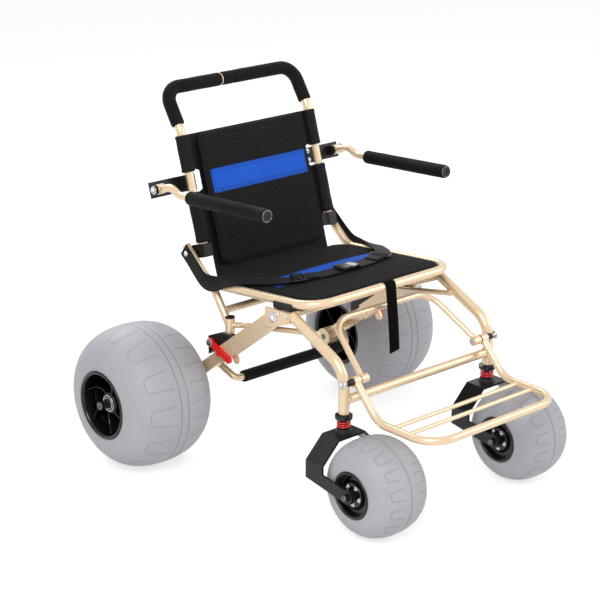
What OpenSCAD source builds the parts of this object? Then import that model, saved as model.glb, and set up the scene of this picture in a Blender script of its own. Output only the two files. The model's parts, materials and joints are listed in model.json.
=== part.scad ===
// Folding beach wheelchair on balloon wheels.
// The chair faces -Y, +Z is up and the floor is z = 0. Lengths are in millimetres.
// Heights are above the floor. A reach is measured forwards from the rear axle.

/* [Wheels] */
// Diameter of a rear balloon tyre
rear_tyre_d = 360; // [340:2:366]
// Width of a rear balloon tyre
rear_tyre_w = 250; // [200:2:256]
// Distance between the mid planes of the rear tyres
rear_track = 786; // [780:2:860]
// Outer diameter of a rear wheel rim
rear_rim_d = 164; // [140:2:190]
// Diameter of a front balloon tyre
front_tyre_d = 236; // [220:2:238]
// Width of a front balloon tyre
front_tyre_w = 164; // [140:2:170]
// Outer diameter of a front wheel rim
front_rim_d = 108; // [90:2:124]
// Diameter of the rear axles
rear_axle_d = 16; // [12:1:20]
// Diameter of the front axle bolts
front_axle_d = 12; // [8:1:14]

/* [Casters] */
// How much further apart the caster stems are than the side runs of the seat rail
stem_spread = 16; // [10:2:40]
// Reach of the caster stems
stem_reach = 582; // [570:2:600]
// Distance from a stem forwards to its wheel axle
caster_trail = 112; // [100:1:116]
// Diameter of a caster stem
stem_d = 15; // [12:1:16]
// Travel of a caster up its leg
suspension_travel = 8; // [4:1:8]
// Mean diameter of a caster spring
spring_d = 30; // [28:1:34]
// Wire diameter of a caster spring
spring_wire_d = 4; // [3:0.5:5]
// Number of turns in a caster spring
spring_turns = 3.5; // [2.5:0.5:3.5]

/* [Seat] */
// Outer diameter of the seat rail
rail_d = 22; // [19:1:25]
// Distance between the side runs of the seat rail
rail_span = 470; // [460:2:480]
// Height of the seat rail at its rear bend
rail_rear_z = 456; // [450:1:462]
// Height of the seat rail at its front run
rail_front_z = 491; // [486:1:496]
// Reach of the front run of the seat rail
rail_front_reach = 464; // [455:1:475]
// Thickness of the seat pad at its edge
pad_edge_h = 16; // [10:1:20]
// Extra height of the seat pad at its crown
pad_crown_h = 12; // [6:1:18]

/* [Front legs] */
// Outer diameter of a front leg
leg_d = 26; // [24:1:28]
// Height of the lower end of a front leg
leg_bottom_z = 256; // [252:1:260]
// Height of the bend of a front leg
leg_bend_z = 384; // [376:1:392]

/* [Rear legs] */
// Depth of the box beam of a rear leg
beam_h = 40; // [34:1:44]
// Width of the box beam of a rear leg
beam_w = 22; // [18:1:24]
// Distance from the front run of the seat rail back to the bolt that a rear leg folds about
pivot_setback = 114; // [108:1:119]
// Height of the bolt that a rear leg folds about
pivot_z = 443; // [440:1:446]

/* [Backrest] */
// Outer diameter of the back tube
back_tube_d = 22; // [19:1:25]
// How much closer the uprights of the back tube are than the side runs of the seat rail
back_inset = 50; // [46:2:70]
// Backwards lean of the back in degrees
back_lean = 17; // [12:1:20]
// Length of an upright from the hinge line to the handle bend
upright_len = 303; // [296:1:312]
// Length of the bent-back arms of the push handle
handle_arm_len = 112; // [100:1:130]
// Outer diameter of the foam grips
grip_d = 34; // [30:1:38]

/* [Armrests] */
// Length of a foam arm pad
arm_pad_len = 325; // [260:1:340]
// Rise of an arm pad over its length
arm_rise = 20; // [0:1:30]
// Distance between the two arm pads
arm_span = 590; // [584:2:610]
// Diameter of an arm tube
arm_tube_d = 19; // [16:1:22]

/* [Footrest] */
// Diameter of the footrest tube
foot_tube_d = 19; // [16:1:20]
// Reach of the front run of the footrest
foot_reach = 842; // [820:2:860]
// Height of the footrest's flat part
foot_z = 258; // [257:1:264]

/* [Hidden] */

$fn = 48;
half_turn = 180;
gold = "#d9b88c";
black = "#1b1b1d";
grey = "#9d9ea6";
blue = "#2a5fe0";
red = "#d01518";
steel = "#b9bcc0";

// Spans and reaches that follow the seat rail
stem_track = rail_span + stem_spread;
back_span = rail_span - back_inset;
pivot_reach = rail_front_reach - pivot_setback;

// Radial play of a shaft that turns in a hole
run_play = 0.05;
// Gap between pieces that move past each other
clear_gap = 0.5;
// Gap between a soft piece and what it lies on
lay_gap = 0.1;
// Overrun of every cut
cut_over = 1;
// Swelling of a tube's wall at a bend, and the lap of its straight runs into it
bend_swell = 0.1;
bend_lap = 0.5;

// The part is drawn with the rear axle at y = 0 and moved so that its box is centred
frame_shift = (foot_reach + foot_tube_d / 2 - rear_tyre_d / 2) / 2;
module placed() { translate([0, frame_shift, 0]) children(); }
module both_sides() {
    children();
    mirror([1, 0, 0]) children();
}
module on_side(s) {
    if (s > 0) children();
    else mirror([1, 0, 0]) children();
}

// Straight round bar between two points
module rod(a, b, d) {
    v = b - a;
    translate(a)
        rotate([0, acos(v.z / norm(v)), atan2(v.y, v.x)])
            cylinder(d = d, h = norm(v));
}

// Round bar along X, from one x to another
module cross_rod(x0, x1, y, z, d) { rod([x0, y, z], [x1, y, z], d); }

function unit(v) = v / norm(v);
function turn(p, i) = acos(unit(p[i] - p[i - 1]) * unit(p[i + 1] - p[i]));
function setback(p, i, r) = (i == 0 || i == len(p) - 1) ? 0 : r * tan(turn(p, i) / 2);

// Arc of a bent tube at point i of its path
module elbow(p, i, r, d) {
    u = unit(p[i] - p[i - 1]);
    w = unit(p[i + 1] - p[i]);
    n = unit(w - (w * u) * u);
    c = p[i] - u * setback(p, i, r) + n * r;
    k = cross(-n, u);
    multmatrix([
        [-n.x, u.x, k.x, c.x],
        [-n.y, u.y, k.y, c.y],
        [-n.z, u.z, k.z, c.z]
    ])
        rotate_extrude(angle = turn(p, i)) translate([r, 0]) circle(d = d + 2 * bend_swell);
}

// Tube along a path of points with one bend radius. Its straight runs enter the bends a little
function lap_at(p, i) = (i == 0 || i == len(p) - 1) ? 0 : bend_lap;
module bent_tube(p, r, d) {
    for (i = [0 : len(p) - 2]) {
        u = unit(p[i + 1] - p[i]);
        a = p[i] + u * (setback(p, i, r) - lap_at(p, i));
        b = p[i + 1] - u * (setback(p, i + 1, r) - lap_at(p, i + 1));
        rod(a, b, d);
    }
    for (i = [1 : len(p) - 2]) elbow(p, i, r, d);
}

// Plate with an outline in the (y, z) plane, between two x values
module side_plate(outline, x0, x1) {
    translate([x0, 0, 0])
        rotate([90, 0, 90])
            linear_extrude(x1 - x0) polygon(outline);
}

// Seat rail: a U with upturned rear ends, level across, rising to the front
rail_x = rail_span / 2;
rail_bend_r = 62;
rail_rear_reach = 82;
rail_tip_back = 8;
rail_tip_z = 532;
rail_path = [
    [-rail_x, rail_tip_back, rail_tip_z],
    [-rail_x, -rail_rear_reach, rail_rear_z],
    [-rail_x, -rail_front_reach, rail_front_z],
    [rail_x, -rail_front_reach, rail_front_z],
    [rail_x, -rail_rear_reach, rail_rear_z],
    [rail_x, rail_tip_back, rail_tip_z]
];
seat_slope = atan((rail_front_z - rail_rear_z) / (rail_front_reach - rail_rear_reach));
function rail_z_at(reach) = rail_rear_z + (reach - rail_rear_reach) * tan(seat_slope);

// The back hinge bolt crosses the upturned ends of the rail
hinge_drop = 22;
rail_tip_dir = unit(rail_path[0] - rail_path[1]);
hinge_y = rail_tip_back - hinge_drop * rail_tip_dir.y;
hinge_z = rail_tip_z - hinge_drop * rail_tip_dir.z;
hinge_bolt_d = 8;

module rail_solid() { bent_tube(rail_path, rail_bend_r, rail_d); }
module rail_side_run() { rod(rail_path[3], rail_path[4], rail_d); }
module seat_rail() color(gold) placed() difference() {
    rail_solid();
    cross_rod(-rail_span, rail_span, hinge_y, hinge_z, hinge_bolt_d + 2 * run_play);
}

// Rear struts run from the bend of the rail down to a short stub tube over the latch
strut_d = 20;
stub_d = 25;
stub_wall = 2.5;
stub_reach = 160;
stub_bottom_z = 348;
stub_top_z = 386;
strut_top_reach = rail_rear_reach + 10;
strut_foot_z = 362;
module stub_solid() {
    rod([rail_x, -stub_reach, stub_bottom_z], [rail_x, -stub_reach, stub_top_z], stub_d);
}
module strut_bar() {
    rod([rail_x, -strut_top_reach, rail_rear_z], [rail_x, -stub_reach, strut_foot_z], strut_d);
}
module rear_struts() color(gold) placed() both_sides() difference() {
    union() {
        strut_bar();
        stub_solid();
    }
    bent_tube([rail_path[3], rail_path[4], rail_path[5]], rail_bend_r, rail_d);
    translate([rail_x, -stub_reach, stub_top_z - plug_len])
        cylinder(d = stub_d - 2 * stub_wall, h = plug_len + cut_over);
    translate([rail_x, -stub_reach, stub_top_z]) cylinder(d = stub_d, h = plug_rim_h);
}
plug_len = 14;
plug_rim_h = 3;
plug_dish_d = 14;
plug_dish_h = 2;
module strut_plugs() color(black) placed() both_sides()
    translate([rail_x, -stub_reach, stub_top_z]) difference() {
        union() {
            translate([0, 0, -plug_len]) cylinder(d = stub_d - 2 * stub_wall, h = plug_len);
            cylinder(d = stub_d, h = plug_rim_h);
        }
        translate([0, 0, plug_rim_h - plug_dish_h]) cylinder(d = plug_dish_d, h = plug_dish_h + cut_over);
    }

// Tube across the chair between the two struts
cross_tube_d = 19;
strut_cross_share = 0.62;
strut_cross_reach = strut_top_reach + (stub_reach - strut_top_reach) * strut_cross_share;
strut_cross_z = rail_rear_z + (strut_foot_z - rail_rear_z) * strut_cross_share;
module strut_cross_tube() color(gold) placed() difference() {
    cross_rod(-rail_x, rail_x, -strut_cross_reach, strut_cross_z, cross_tube_d);
    both_sides() strut_bar();
}

foot_bolt_d = 8;
foot_spacer_len = 6;
hoop_spacer_len = 4;
foot_eye_w = 20;
foot_pivot_reach = 590;
foot_pivot_z = 340;
foot_eye_d = 24;

// Front legs: down-forward from the knuckle, then upright to the caster
leg_x = stem_track / 2;
foot_side_x = leg_x - leg_d / 2 - foot_spacer_len - foot_eye_w / 2;
leg_bend_r = 70;
knuckle_front_len = 58;
knuckle_front_reach = pivot_reach + knuckle_front_len;
leg_top_z = 454;
leg_lean_z = 12;
leg_sink = 14;
leg_fall_share = (leg_top_z - leg_bend_z + leg_lean_z) / (stem_reach - knuckle_front_reach);
leg_path = [
    [leg_x, -knuckle_front_reach + leg_sink, leg_top_z + leg_sink * leg_fall_share],
    [leg_x, -stem_reach, leg_bend_z - leg_lean_z],
    [leg_x, -stem_reach, leg_bottom_z]
];
leg_bore_len = 70;
module leg_solid() { bent_tube(leg_path, leg_bend_r, leg_d); }
module front_leg(s) color(gold) placed() on_side(s) difference() {
    leg_solid();
    translate([leg_x, -stem_reach, leg_bottom_z - cut_over])
        cylinder(d = stem_d + 2 * run_play, h = leg_bore_len + cut_over);
    cross_rod(0, leg_x + leg_d, -foot_pivot_reach, foot_pivot_z, foot_bolt_d);
    translate([leg_x - leg_d, -knuckle_front_reach, 0]) cube([2 * leg_d, 2 * leg_d, 2 * leg_top_z]);
}
module front_leg_right() { front_leg(-1); }
module front_leg_left() { front_leg(1); }

// Knuckles join leg, cross tube and rear leg: two cheeks beside the beam and a block in front of it
knuckle_w = 34;
knuckle_back_len = 28;
knuckle_back_reach = pivot_reach - knuckle_back_len;
knuckle_rise = 20;
knuckle_drop = 26;
knuckle_nose = 13;
pivot_bolt_d = 10;
beam_nose_r = beam_h / 2;
cheek_gap = beam_w / 2 + clear_gap;
block_back_reach = pivot_reach + beam_nose_r + 2 * clear_gap;
knuckle_outline = [
    [-knuckle_front_reach, leg_top_z + knuckle_nose],
    [-knuckle_front_reach, leg_top_z - knuckle_nose],
    [-pivot_reach, pivot_z - knuckle_drop],
    [-knuckle_back_reach, pivot_z - knuckle_drop],
    [-knuckle_back_reach, pivot_z + knuckle_rise]
];
beam_slope = atan((pivot_z - rear_tyre_d / 2) / pivot_reach);
module knuckles() color(gold) placed() both_sides() difference() {
    side_plate(knuckle_outline, leg_x - knuckle_w / 2, leg_x + knuckle_w / 2);
    translate([leg_x - cheek_gap, -block_back_reach, 0]) cube([2 * cheek_gap, pivot_reach, 2 * pivot_z]);
    cross_rod(0, leg_x + knuckle_w, -pivot_reach, pivot_z, pivot_bolt_d);
}

// Tube across the chair between the knuckles, and the saddles that carry the rail
knuckle_cross_setback = 18;
knuckle_cross_reach = knuckle_front_reach - knuckle_cross_setback;
knuckle_cross_z = 455;
module knuckle_cross_tube() color(gold) placed()
    cross_rod(-knuckle_in_x, knuckle_in_x, -knuckle_cross_reach, knuckle_cross_z, cross_tube_d);
knuckle_in_x = leg_x - knuckle_w / 2;
saddle_w = 30;
saddle_inset = 6;
saddle_l = 62;
saddle_front_reach = knuckle_front_reach - saddle_inset;
saddle_back_reach = saddle_front_reach - saddle_l;
knuckle_top_fall = (leg_top_z + knuckle_nose - pivot_z - knuckle_rise)
    / (knuckle_front_reach - knuckle_back_reach);
function knuckle_top_z(reach) =
    pivot_z + knuckle_rise + (reach - knuckle_back_reach) * knuckle_top_fall;
saddle_outline = [
    [-saddle_front_reach, rail_z_at(saddle_front_reach)],
    [-saddle_front_reach, knuckle_top_z(saddle_front_reach)],
    [-saddle_back_reach, knuckle_top_z(saddle_back_reach)],
    [-saddle_back_reach, rail_z_at(saddle_back_reach)]
];
module saddles() color(black) placed() both_sides() difference() {
    side_plate(saddle_outline, rail_x - saddle_w / 2, rail_x + saddle_w / 2);
    rail_side_run();
}

// Crossbar between the upright parts of the legs
crossbar_d = 22;
crossbar_z = 296;
module front_crossbar() color(gold) placed() difference() {
    cross_rod(-leg_x, leg_x, -stem_reach, crossbar_z, crossbar_d);
    both_sides() leg_solid();
}

// Lower stays tie the stub of each strut to the front leg
stay_d = 14;
stay_x = leg_x - leg_d / 2 - stay_d / 2;
stay_lead = 62;
stay_front_reach = knuckle_front_reach + stay_lead;
stay_front_z = leg_top_z - stay_lead * leg_fall_share;
stay_rear_z = 366;
module lower_stays() color(gold) placed() both_sides() difference() {
    bent_tube([
        [rail_x, -stub_reach, stay_rear_z],
        [stay_x, -stub_reach - stay_run, stay_rear_z + stay_run * stay_grade],
        [stay_x, -stay_front_reach, stay_front_z]
    ], stay_bend_r, stay_d);
    stub_solid();
    strut_bar();
}
stay_run = 34;
stay_bend_r = 30;
stay_grade = (stay_front_z - stay_rear_z) / (stay_front_reach - stub_reach);

// Calf hoop: an arched bar from the footrest bolts up behind the legs and across under the seat
hoop_d = 15;
hoop_bend_r = 58;
hoop_x = foot_side_x - foot_eye_w / 2 - hoop_spacer_len - hoop_d / 2;
hoop_top_setback = 12;
hoop_top_reach = rail_front_reach - hoop_top_setback;
hoop_top_z = 438;
hoop_lean = 34;
hoop_path = [
    [-hoop_x, -foot_pivot_reach, foot_pivot_z],
    [-hoop_x + hoop_lean, -hoop_top_reach, hoop_top_z],
    [hoop_x - hoop_lean, -hoop_top_reach, hoop_top_z],
    [hoop_x, -foot_pivot_reach, foot_pivot_z]
];
hoop_eye_d = 22;
hoop_boss = 6;
module calf_hoop() color(gold) placed() difference() {
    union() {
        bent_tube(hoop_path, hoop_bend_r, hoop_d);
        both_sides() cross_rod(hoop_x - hoop_d / 2 - hoop_boss, hoop_x + hoop_d / 2,
            -foot_pivot_reach, foot_pivot_z, hoop_eye_d);
    }
    cross_rod(-leg_x, leg_x, -foot_pivot_reach, foot_pivot_z, foot_bolt_d);
}

// Seat pad: crowned, with drawn-in corners, held between the runs of the rail
pad_gap = 0.1;
pad_w = rail_span - rail_d - 2 * pad_gap;
pad_front_reach = rail_front_reach - rail_d / 2 - pad_gap;
pad_rear_setback = 16;
pad_rear_reach = rail_rear_reach - pad_rear_setback;
pad_l = pad_front_reach - pad_rear_reach;
pad_sink = 6;
pad_draw_share = 0.02;
pad_power = 7;
edge_power = 8;
pad_sides = 48;
pad_ring_shares = [0, 0.3, 0.55, 0.75, 0.88, 0.95, 0.985, 1];
module on_seat(reach) {
    translate([0, -reach, rail_z_at(reach)]) rotate([-seat_slope, 0, 0]) children();
}

// Rounded rectangle of half sizes a and b, drawn in at its corners
function pad_point(a, b, t, draw) =
    let (c = cos(t), s = sin(t))
    let (k = pow(pow(abs(c), pad_power) + pow(abs(s), pad_power), -1 / pad_power))
    let (pull = 1 - draw * pow(sin(2 * t), 2))
    [a * k * c * pull, b * k * s * pull];

// Crowned pad on its own plane: the edge is h high and the middle rises by crown
module crowned_pad(w, l, h, crown, draw) {
    n = pad_sides;
    m = len(pad_ring_shares);
    function ring(f, z) = [for (j = [0 : n - 1])
        let (q = pad_point(w / 2, l / 2, j * 360 / n, draw)) [q.x * f, q.y * f, z]];
    lower = [for (i = [1 : m - 1])
        let (f = pad_ring_shares[i])
        ring(f, h / 2 * (1 - sqrt(1 - pow(f, edge_power))))];
    upper = [for (i = [m - 2 : -1 : 1])
        let (f = pad_ring_shares[i])
        ring(f, h / 2 + h / 2 * sqrt(1 - pow(f, edge_power)) + crown * pow(cos(90 * f), 2))];
    rings = concat(lower, upper);
    k = len(rings);
    points = concat([[0, 0, 0]], [for (r = rings) for (q = r) q], [[0, 0, h + crown]]);
    last = len(points) - 1;
    side = [for (i = [0 : k - 2]) for (j = [0 : n - 1])
        let (a = 1 + i * n + j, b = 1 + i * n + (j + 1) % n, c = a + n, d = b + n)
        each [[a, c, b], [b, c, d]]];
    base = [for (j = [0 : n - 1]) [0, 1 + j, 1 + (j + 1) % n]];
    cap = [for (j = [0 : n - 1]) [last, 1 + (k - 1) * n + (j + 1) % n, 1 + (k - 1) * n + j]];
    polyhedron(points, concat(base, side, cap), convexity = 4);
}
pad_mid_reach = (pad_front_reach + pad_rear_reach) / 2;
module seat_pad() color(black) placed() on_seat(pad_mid_reach)
    translate([0, 0, -pad_sink]) crowned_pad(pad_w, pad_l, pad_edge_h, pad_crown_h, pad_draw_share);

// Flat band across the seat pad, laid on its crown
band_t = 2;
seat_band_w = 380;
seat_band_l = 62;
seat_band_reach = 262;
pad_top = pad_edge_h + pad_crown_h - pad_sink;
module seat_stripe() color(blue) placed() on_seat(seat_band_reach)
    translate([-seat_band_w / 2, -seat_band_l / 2, pad_top + lay_gap])
        cube([seat_band_w, seat_band_l, band_t]);

// Lap belt halves lie on the seat from the rail's rear bend to the buckle
belt_w = 40;
belt_t = 2.4;
belt_mid_reach = 330;
belt_knee_reach = 296;
belt_knee_x = 150;
belt_lift = pad_top + band_t + 2 * lay_gap;
buckle_l = 58;
buckle_w = 44;
buckle_h = 9;
belt_rear_reach = 196;
belt_outline = [
    [buckle_l / 2, -belt_mid_reach + belt_w / 2],
    [buckle_l / 2, -belt_mid_reach - belt_w / 2],
    [belt_knee_x, -belt_knee_reach - belt_w / 2],
    [rail_x - rail_d, -belt_rear_reach - belt_w],
    [rail_x - rail_d, -belt_rear_reach],
    [belt_knee_x, -belt_knee_reach + belt_w / 2]
];
module on_belt() {
    on_seat(rail_rear_reach) translate([0, rail_rear_reach, belt_lift]) children();
}
module belt(s) color(black) placed() on_side(s) on_belt() linear_extrude(belt_t) polygon(belt_outline);
module belt_right() { belt(-1); }
module belt_left() { belt(1); }
adjuster_l = 26;
adjuster_w = 50;
adjuster_h = 6;
module belt_adjusters() color(black) placed() both_sides() on_belt()
    translate([belt_knee_x, -belt_knee_reach, belt_t]) difference() {
        translate([-adjuster_l / 2, -adjuster_w / 2, 0]) cube([adjuster_l, adjuster_w, adjuster_h]);
        for (k = [-1, 1])
            translate([k * adjuster_l / 4 - adjuster_slot / 2, -belt_w / 2, adjuster_h / 2])
                cube([adjuster_slot, belt_w, adjuster_h]);
    }
adjuster_slot = 7;
module belt_buckle() color(black) placed() on_belt() translate([0, -belt_mid_reach, 0]) difference() {
    translate([-buckle_l / 2, -buckle_w / 2, 0]) cube([buckle_l, buckle_w, buckle_h]);
    for (k = [-1, 1])
        translate([-buckle_l / 4, k * buckle_w / 2 - buckle_nick / 2, -cut_over])
            cube([buckle_l / 2, buckle_nick, buckle_h + 2 * cut_over]);
}
buckle_nick = 10;

// Storage strap hangs over the front run of the rail
strap_w = 34;
strap_t = 2.5;
strap_drop = 168;
strap_x = 8;
strap_end_share = 0.4;
module storage_strap() color(black) placed() translate([strap_x - strap_w / 2, 0, 0]) {
    y0 = -rail_front_reach;
    r0 = rail_d / 2 + lay_gap;
    translate([0, y0, rail_front_z]) rotate([90, 0, 90]) linear_extrude(strap_w) difference() {
        union() {
            circle(r = r0 + strap_t);
            translate([-r0 - strap_t, -strap_drop]) square([strap_t, strap_drop]);
        }
        circle(r = r0);
        translate([-r0, -strap_drop]) square([2 * r0 + strap_t + cut_over, strap_drop]);
        translate([r0 * strap_end_share, -r0]) square([2 * r0, 3 * r0]);
    }
}

// Black rings that the caster springs press on
ring_d = 42;
ring_h = 9;
ring_lip = 3;
module spring_rings() color(black) placed() both_sides()
    translate([leg_x, -stem_reach, leg_bottom_z]) difference() {
    union() {
        translate([0, 0, -ring_lip]) cylinder(d = ring_d, h = ring_h);
        translate([0, 0, ring_h - ring_lip]) cylinder(d1 = ring_d, d2 = leg_d + ring_lip, h = ring_lip);
    }
    cylinder(d = leg_d, h = ring_h + ring_lip);
    translate([0, 0, -ring_lip - cut_over]) cylinder(d = stem_d + 2 * clear_gap, h = ring_h);
}

// Bolts of the rear-leg pivots, the footrest and the hinge of the back
bolt_head_h = 5;
bolt_head_share = 1.7;
module hex_head(x, y, z, d) {
    translate([x, y, z]) rotate([0, 90, 0]) cylinder(d = d * bolt_head_share, h = bolt_head_h, $fn = 6);
}
spacer_d = 17;
spacer_play = 0.3;
module footrest_spacers() color(black) placed() both_sides() difference() {
    union() {
        cross_rod(foot_side_x + foot_eye_w / 2 + spacer_play, leg_x,
            -foot_pivot_reach, foot_pivot_z, spacer_d);
        cross_rod(hoop_x + hoop_d / 2, foot_side_x - foot_eye_w / 2 - spacer_play,
            -foot_pivot_reach, foot_pivot_z, spacer_d);
    }
    leg_solid();
    cross_rod(0, leg_x, -foot_pivot_reach, foot_pivot_z, foot_bolt_d);
}
module frame_bolts() color(steel) placed() both_sides() {
    cross_rod(knuckle_in_x, leg_x + knuckle_w / 2, -pivot_reach, pivot_z, pivot_bolt_d - 2 * run_play);
    hex_head(leg_x + knuckle_w / 2, -pivot_reach, pivot_z, pivot_bolt_d);
    hex_head(knuckle_in_x - bolt_head_h, -pivot_reach, pivot_z, pivot_bolt_d);
    cross_rod(foot_bolt_tip_x, leg_x + leg_d / 2,
        -foot_pivot_reach, foot_pivot_z, foot_bolt_d - 2 * run_play);
    hex_head(leg_x + leg_d / 2, -foot_pivot_reach, foot_pivot_z, foot_bolt_d);
    hex_head(foot_bolt_tip_x - bolt_head_h, -foot_pivot_reach, foot_pivot_z, foot_bolt_d);
    cross_rod(hinge_tip_x, rail_x + rail_d / 2 + bolt_head_h, hinge_y, hinge_z, hinge_bolt_d);
    hex_head(rail_x + rail_d / 2, hinge_y, hinge_z, hinge_bolt_d);
}
hinge_block_w = 26;
foot_bolt_tip_x = hoop_x - hoop_d / 2 - hoop_boss;
hinge_tip_x = back_span / 2 - hinge_block_w / 2;

// Rear leg: box beam to the latch, then an inner section down to the axle
beam_len = norm([pivot_reach, pivot_z - rear_tyre_d / 2]);
beam_box_share = 0.6;
inner_h = 30;
inner_w = 14;
boss_d = 46;
boss_w = 40;
lug_share = 0.5;
lug_d = 20;
lug_drop = 12;
lug_hole_d = 8;
lug_w = 5;
module along_beam() { translate([leg_x, -pivot_reach, pivot_z]) rotate([-beam_slope, 0, 0]) children(); }
module beam(s) color(gold) placed() on_side(s) difference() {
    union() {
        along_beam() {
            translate([-beam_w / 2, 0, -beam_h / 2]) cube([beam_w, beam_len * beam_box_share, beam_h]);
            rotate([0, 90, 0]) cylinder(r = beam_nose_r, h = beam_w, center = true);
            translate([-inner_w / 2, 0, -inner_h / 2]) cube([inner_w, beam_len, inner_h]);
            translate([-lug_w / 2, beam_len * lug_share, -beam_h / 2 - lug_drop]) rotate([0, 90, 0])
                cylinder(d = lug_d, h = lug_w);
            translate([-lug_w / 2, beam_len * lug_share - lug_d / 2, -beam_h / 2 - lug_drop])
                cube([lug_w, lug_d, lug_drop]);
        }
        cross_rod(leg_x - boss_w / 2, leg_x + boss_w / 2, 0, rear_tyre_d / 2, boss_d);
    }
    cross_rod(0, 2 * leg_x, -pivot_reach, pivot_z, pivot_bolt_d);
    cross_rod(0, 2 * leg_x, 0, rear_tyre_d / 2, rear_axle_d);
    along_beam() translate([-beam_w, beam_len * lug_share, -beam_h / 2 - lug_drop]) rotate([0, 90, 0])
        cylinder(d = lug_hole_d, h = 2 * beam_w);
}
module beam_right() { beam(-1); }
module beam_left() { beam(1); }

// Rear bar between the beams, with a foam grip
bar_d = 18;
bar_reach = 128;
bar_z = 204;
bar_bend_r = 20;
bar_x = leg_x - inner_w / 2;
bar_root_share = 0.78;
bar_root = [bar_x, -pivot_reach + beam_len * bar_root_share * cos(beam_slope),
    pivot_z - beam_len * bar_root_share * sin(beam_slope)];
bar_inset = 30;
bar_elbow_x = bar_x - bar_inset;
module rear_bar() color(gold) placed() {
    bent_tube([
        [-bar_x, bar_root.y, bar_root.z],
        [-bar_elbow_x, bar_root.y, bar_root.z],
        [-bar_elbow_x + bar_inset / 2, -bar_reach, bar_z],
        [bar_elbow_x - bar_inset / 2, -bar_reach, bar_z],
        [bar_elbow_x, bar_root.y, bar_root.z],
        [bar_x, bar_root.y, bar_root.z]
    ], bar_bend_r, bar_d);
}
bar_grip_len = 340;
bar_grip_d = 30;
module rear_bar_grip() color(black) placed() difference() {
    cross_rod(-bar_grip_len / 2, bar_grip_len / 2, -bar_reach, bar_z, bar_grip_d);
    cross_rod(-bar_grip_len, bar_grip_len, -bar_reach, bar_z, bar_d);
}

// Latch blocks on the beams, under the stubs, with a lever on the outside of each
latch_w = 20;
latch_front_reach = 188;
latch_rear_reach = 96;
latch_top_z = stub_bottom_z - clear_gap;
latch_rear_z = 326;
latch_pin_reach = 112;
latch_pin_z = 314;
latch_pin_d = 8;
function beam_top_z(reach) = pivot_z - (pivot_reach - reach) * tan(beam_slope) + beam_h / 2 / cos(beam_slope);
latch_outline = [
    [-latch_front_reach, latch_top_z],
    [-latch_front_reach, beam_top_z(latch_front_reach)],
    [-latch_rear_reach, beam_top_z(latch_rear_reach)],
    [-latch_rear_reach, latch_rear_z],
    [-stub_reach + stub_d / 2, latch_top_z]
];
lever_t = 8;
lever_x = leg_x + beam_w / 2 + clear_gap;
module latch_blocks() color(black) placed() both_sides() {
    side_plate(latch_outline, leg_x - latch_w / 2, leg_x + latch_w / 2);
    cross_rod(leg_x, lever_x + lever_t, -latch_pin_reach, latch_pin_z, latch_pin_d - 2 * run_play);
    hex_head(lever_x + lever_t + clear_gap, -latch_pin_reach, latch_pin_z, latch_pin_d);
    cross_rod(lever_x + lever_t, lever_x + lever_t + clear_gap,
        -latch_pin_reach, latch_pin_z, latch_pin_d / 2);
}
lever_w = 22;
lever_len = 74;
lever_droop = 22;
lever_bar_share = 0.72;
lever_tip_share = 0.86;
lever_tooth_share = 0.5;
module latch_lever(s) color(red) placed() on_side(s) translate([lever_x, -latch_pin_reach, latch_pin_z])
    rotate([90, 0, 90]) rotate(half_turn + lever_droop) linear_extrude(lever_t) difference() {
        union() {
            circle(d = lever_w);
            translate([0, -lever_w * lever_bar_share / 2]) square([lever_len, lever_w * lever_bar_share]);
            translate([lever_len, 0]) circle(d = lever_w * lever_tip_share);
            translate([lever_len * lever_tooth_share, lever_w / 4]) circle(d = lever_w * lever_tip_share);
        }
        circle(d = latch_pin_d);
    }
module latch_lever_right() { latch_lever(-1); }
module latch_lever_left() { latch_lever(1); }

// Rear axles reach from the boss of each beam through the wheel to a nut
axle_nut_h = 9;
hub_share = 0.82;
hub_w = rear_tyre_w * hub_share;
axle_tip_x = rear_track / 2 + hub_w / 2 + 2 * clear_gap + axle_nut_h;
axle_collar_d = 26;
module axle(s) color(steel) placed() on_side(s) {
    cross_rod(leg_x - boss_w / 2, axle_tip_x, 0, rear_tyre_d / 2, rear_axle_d);
    cross_rod(leg_x + boss_w / 2, rear_track / 2 - hub_w / 2 - clear_gap, 0, rear_tyre_d / 2, axle_collar_d);
    translate([axle_tip_x - axle_nut_h, 0, rear_tyre_d / 2]) rotate([0, 90, 0])
        cylinder(d = axle_collar_d, h = axle_nut_h, $fn = 6);
}
module axle_right() { axle(-1); }
module axle_left() { axle(1); }

// Balloon tyre about the X axis: a bulged section over the rim, with two seam grooves
tyre_power = 2.4;
tyre_steps = 20;
seat_share = 0.82;
seam_w = 1.6;
seam_depth = 2;
seam_gap = 14;
function bulge(t, rim_r, r, w) = [
    rim_r + (r - rim_r) * pow(abs(sin(t)), 2 / tyre_power),
    w / 2 * sign(cos(t)) * pow(abs(cos(t)), 2 / tyre_power)
];
module balloon_tyre(d, w, rim_d) {
    rotate([0, 90, 0]) rotate_extrude() difference() {
        polygon(concat(
            [[rim_d / 2, w * seat_share / 2]],
            [[rim_d / 2 + seam_depth, w / 2 * tyre_flank_share]],
            [for (k = [1 : tyre_steps - 1]) bulge(half_turn * k / tyre_steps, rim_d / 2, d / 2, w)],
            [[rim_d / 2 + seam_depth, -w / 2 * tyre_flank_share]],
            [[rim_d / 2, -w * seat_share / 2]]
        ));
        for (k = [-1, 1])
            translate([d / 2 - seam_depth, k * seam_gap / 2 - seam_w / 2])
                square([seam_depth + cut_over, seam_w]);
    }
}
tyre_flank_share = 0.9;

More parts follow.
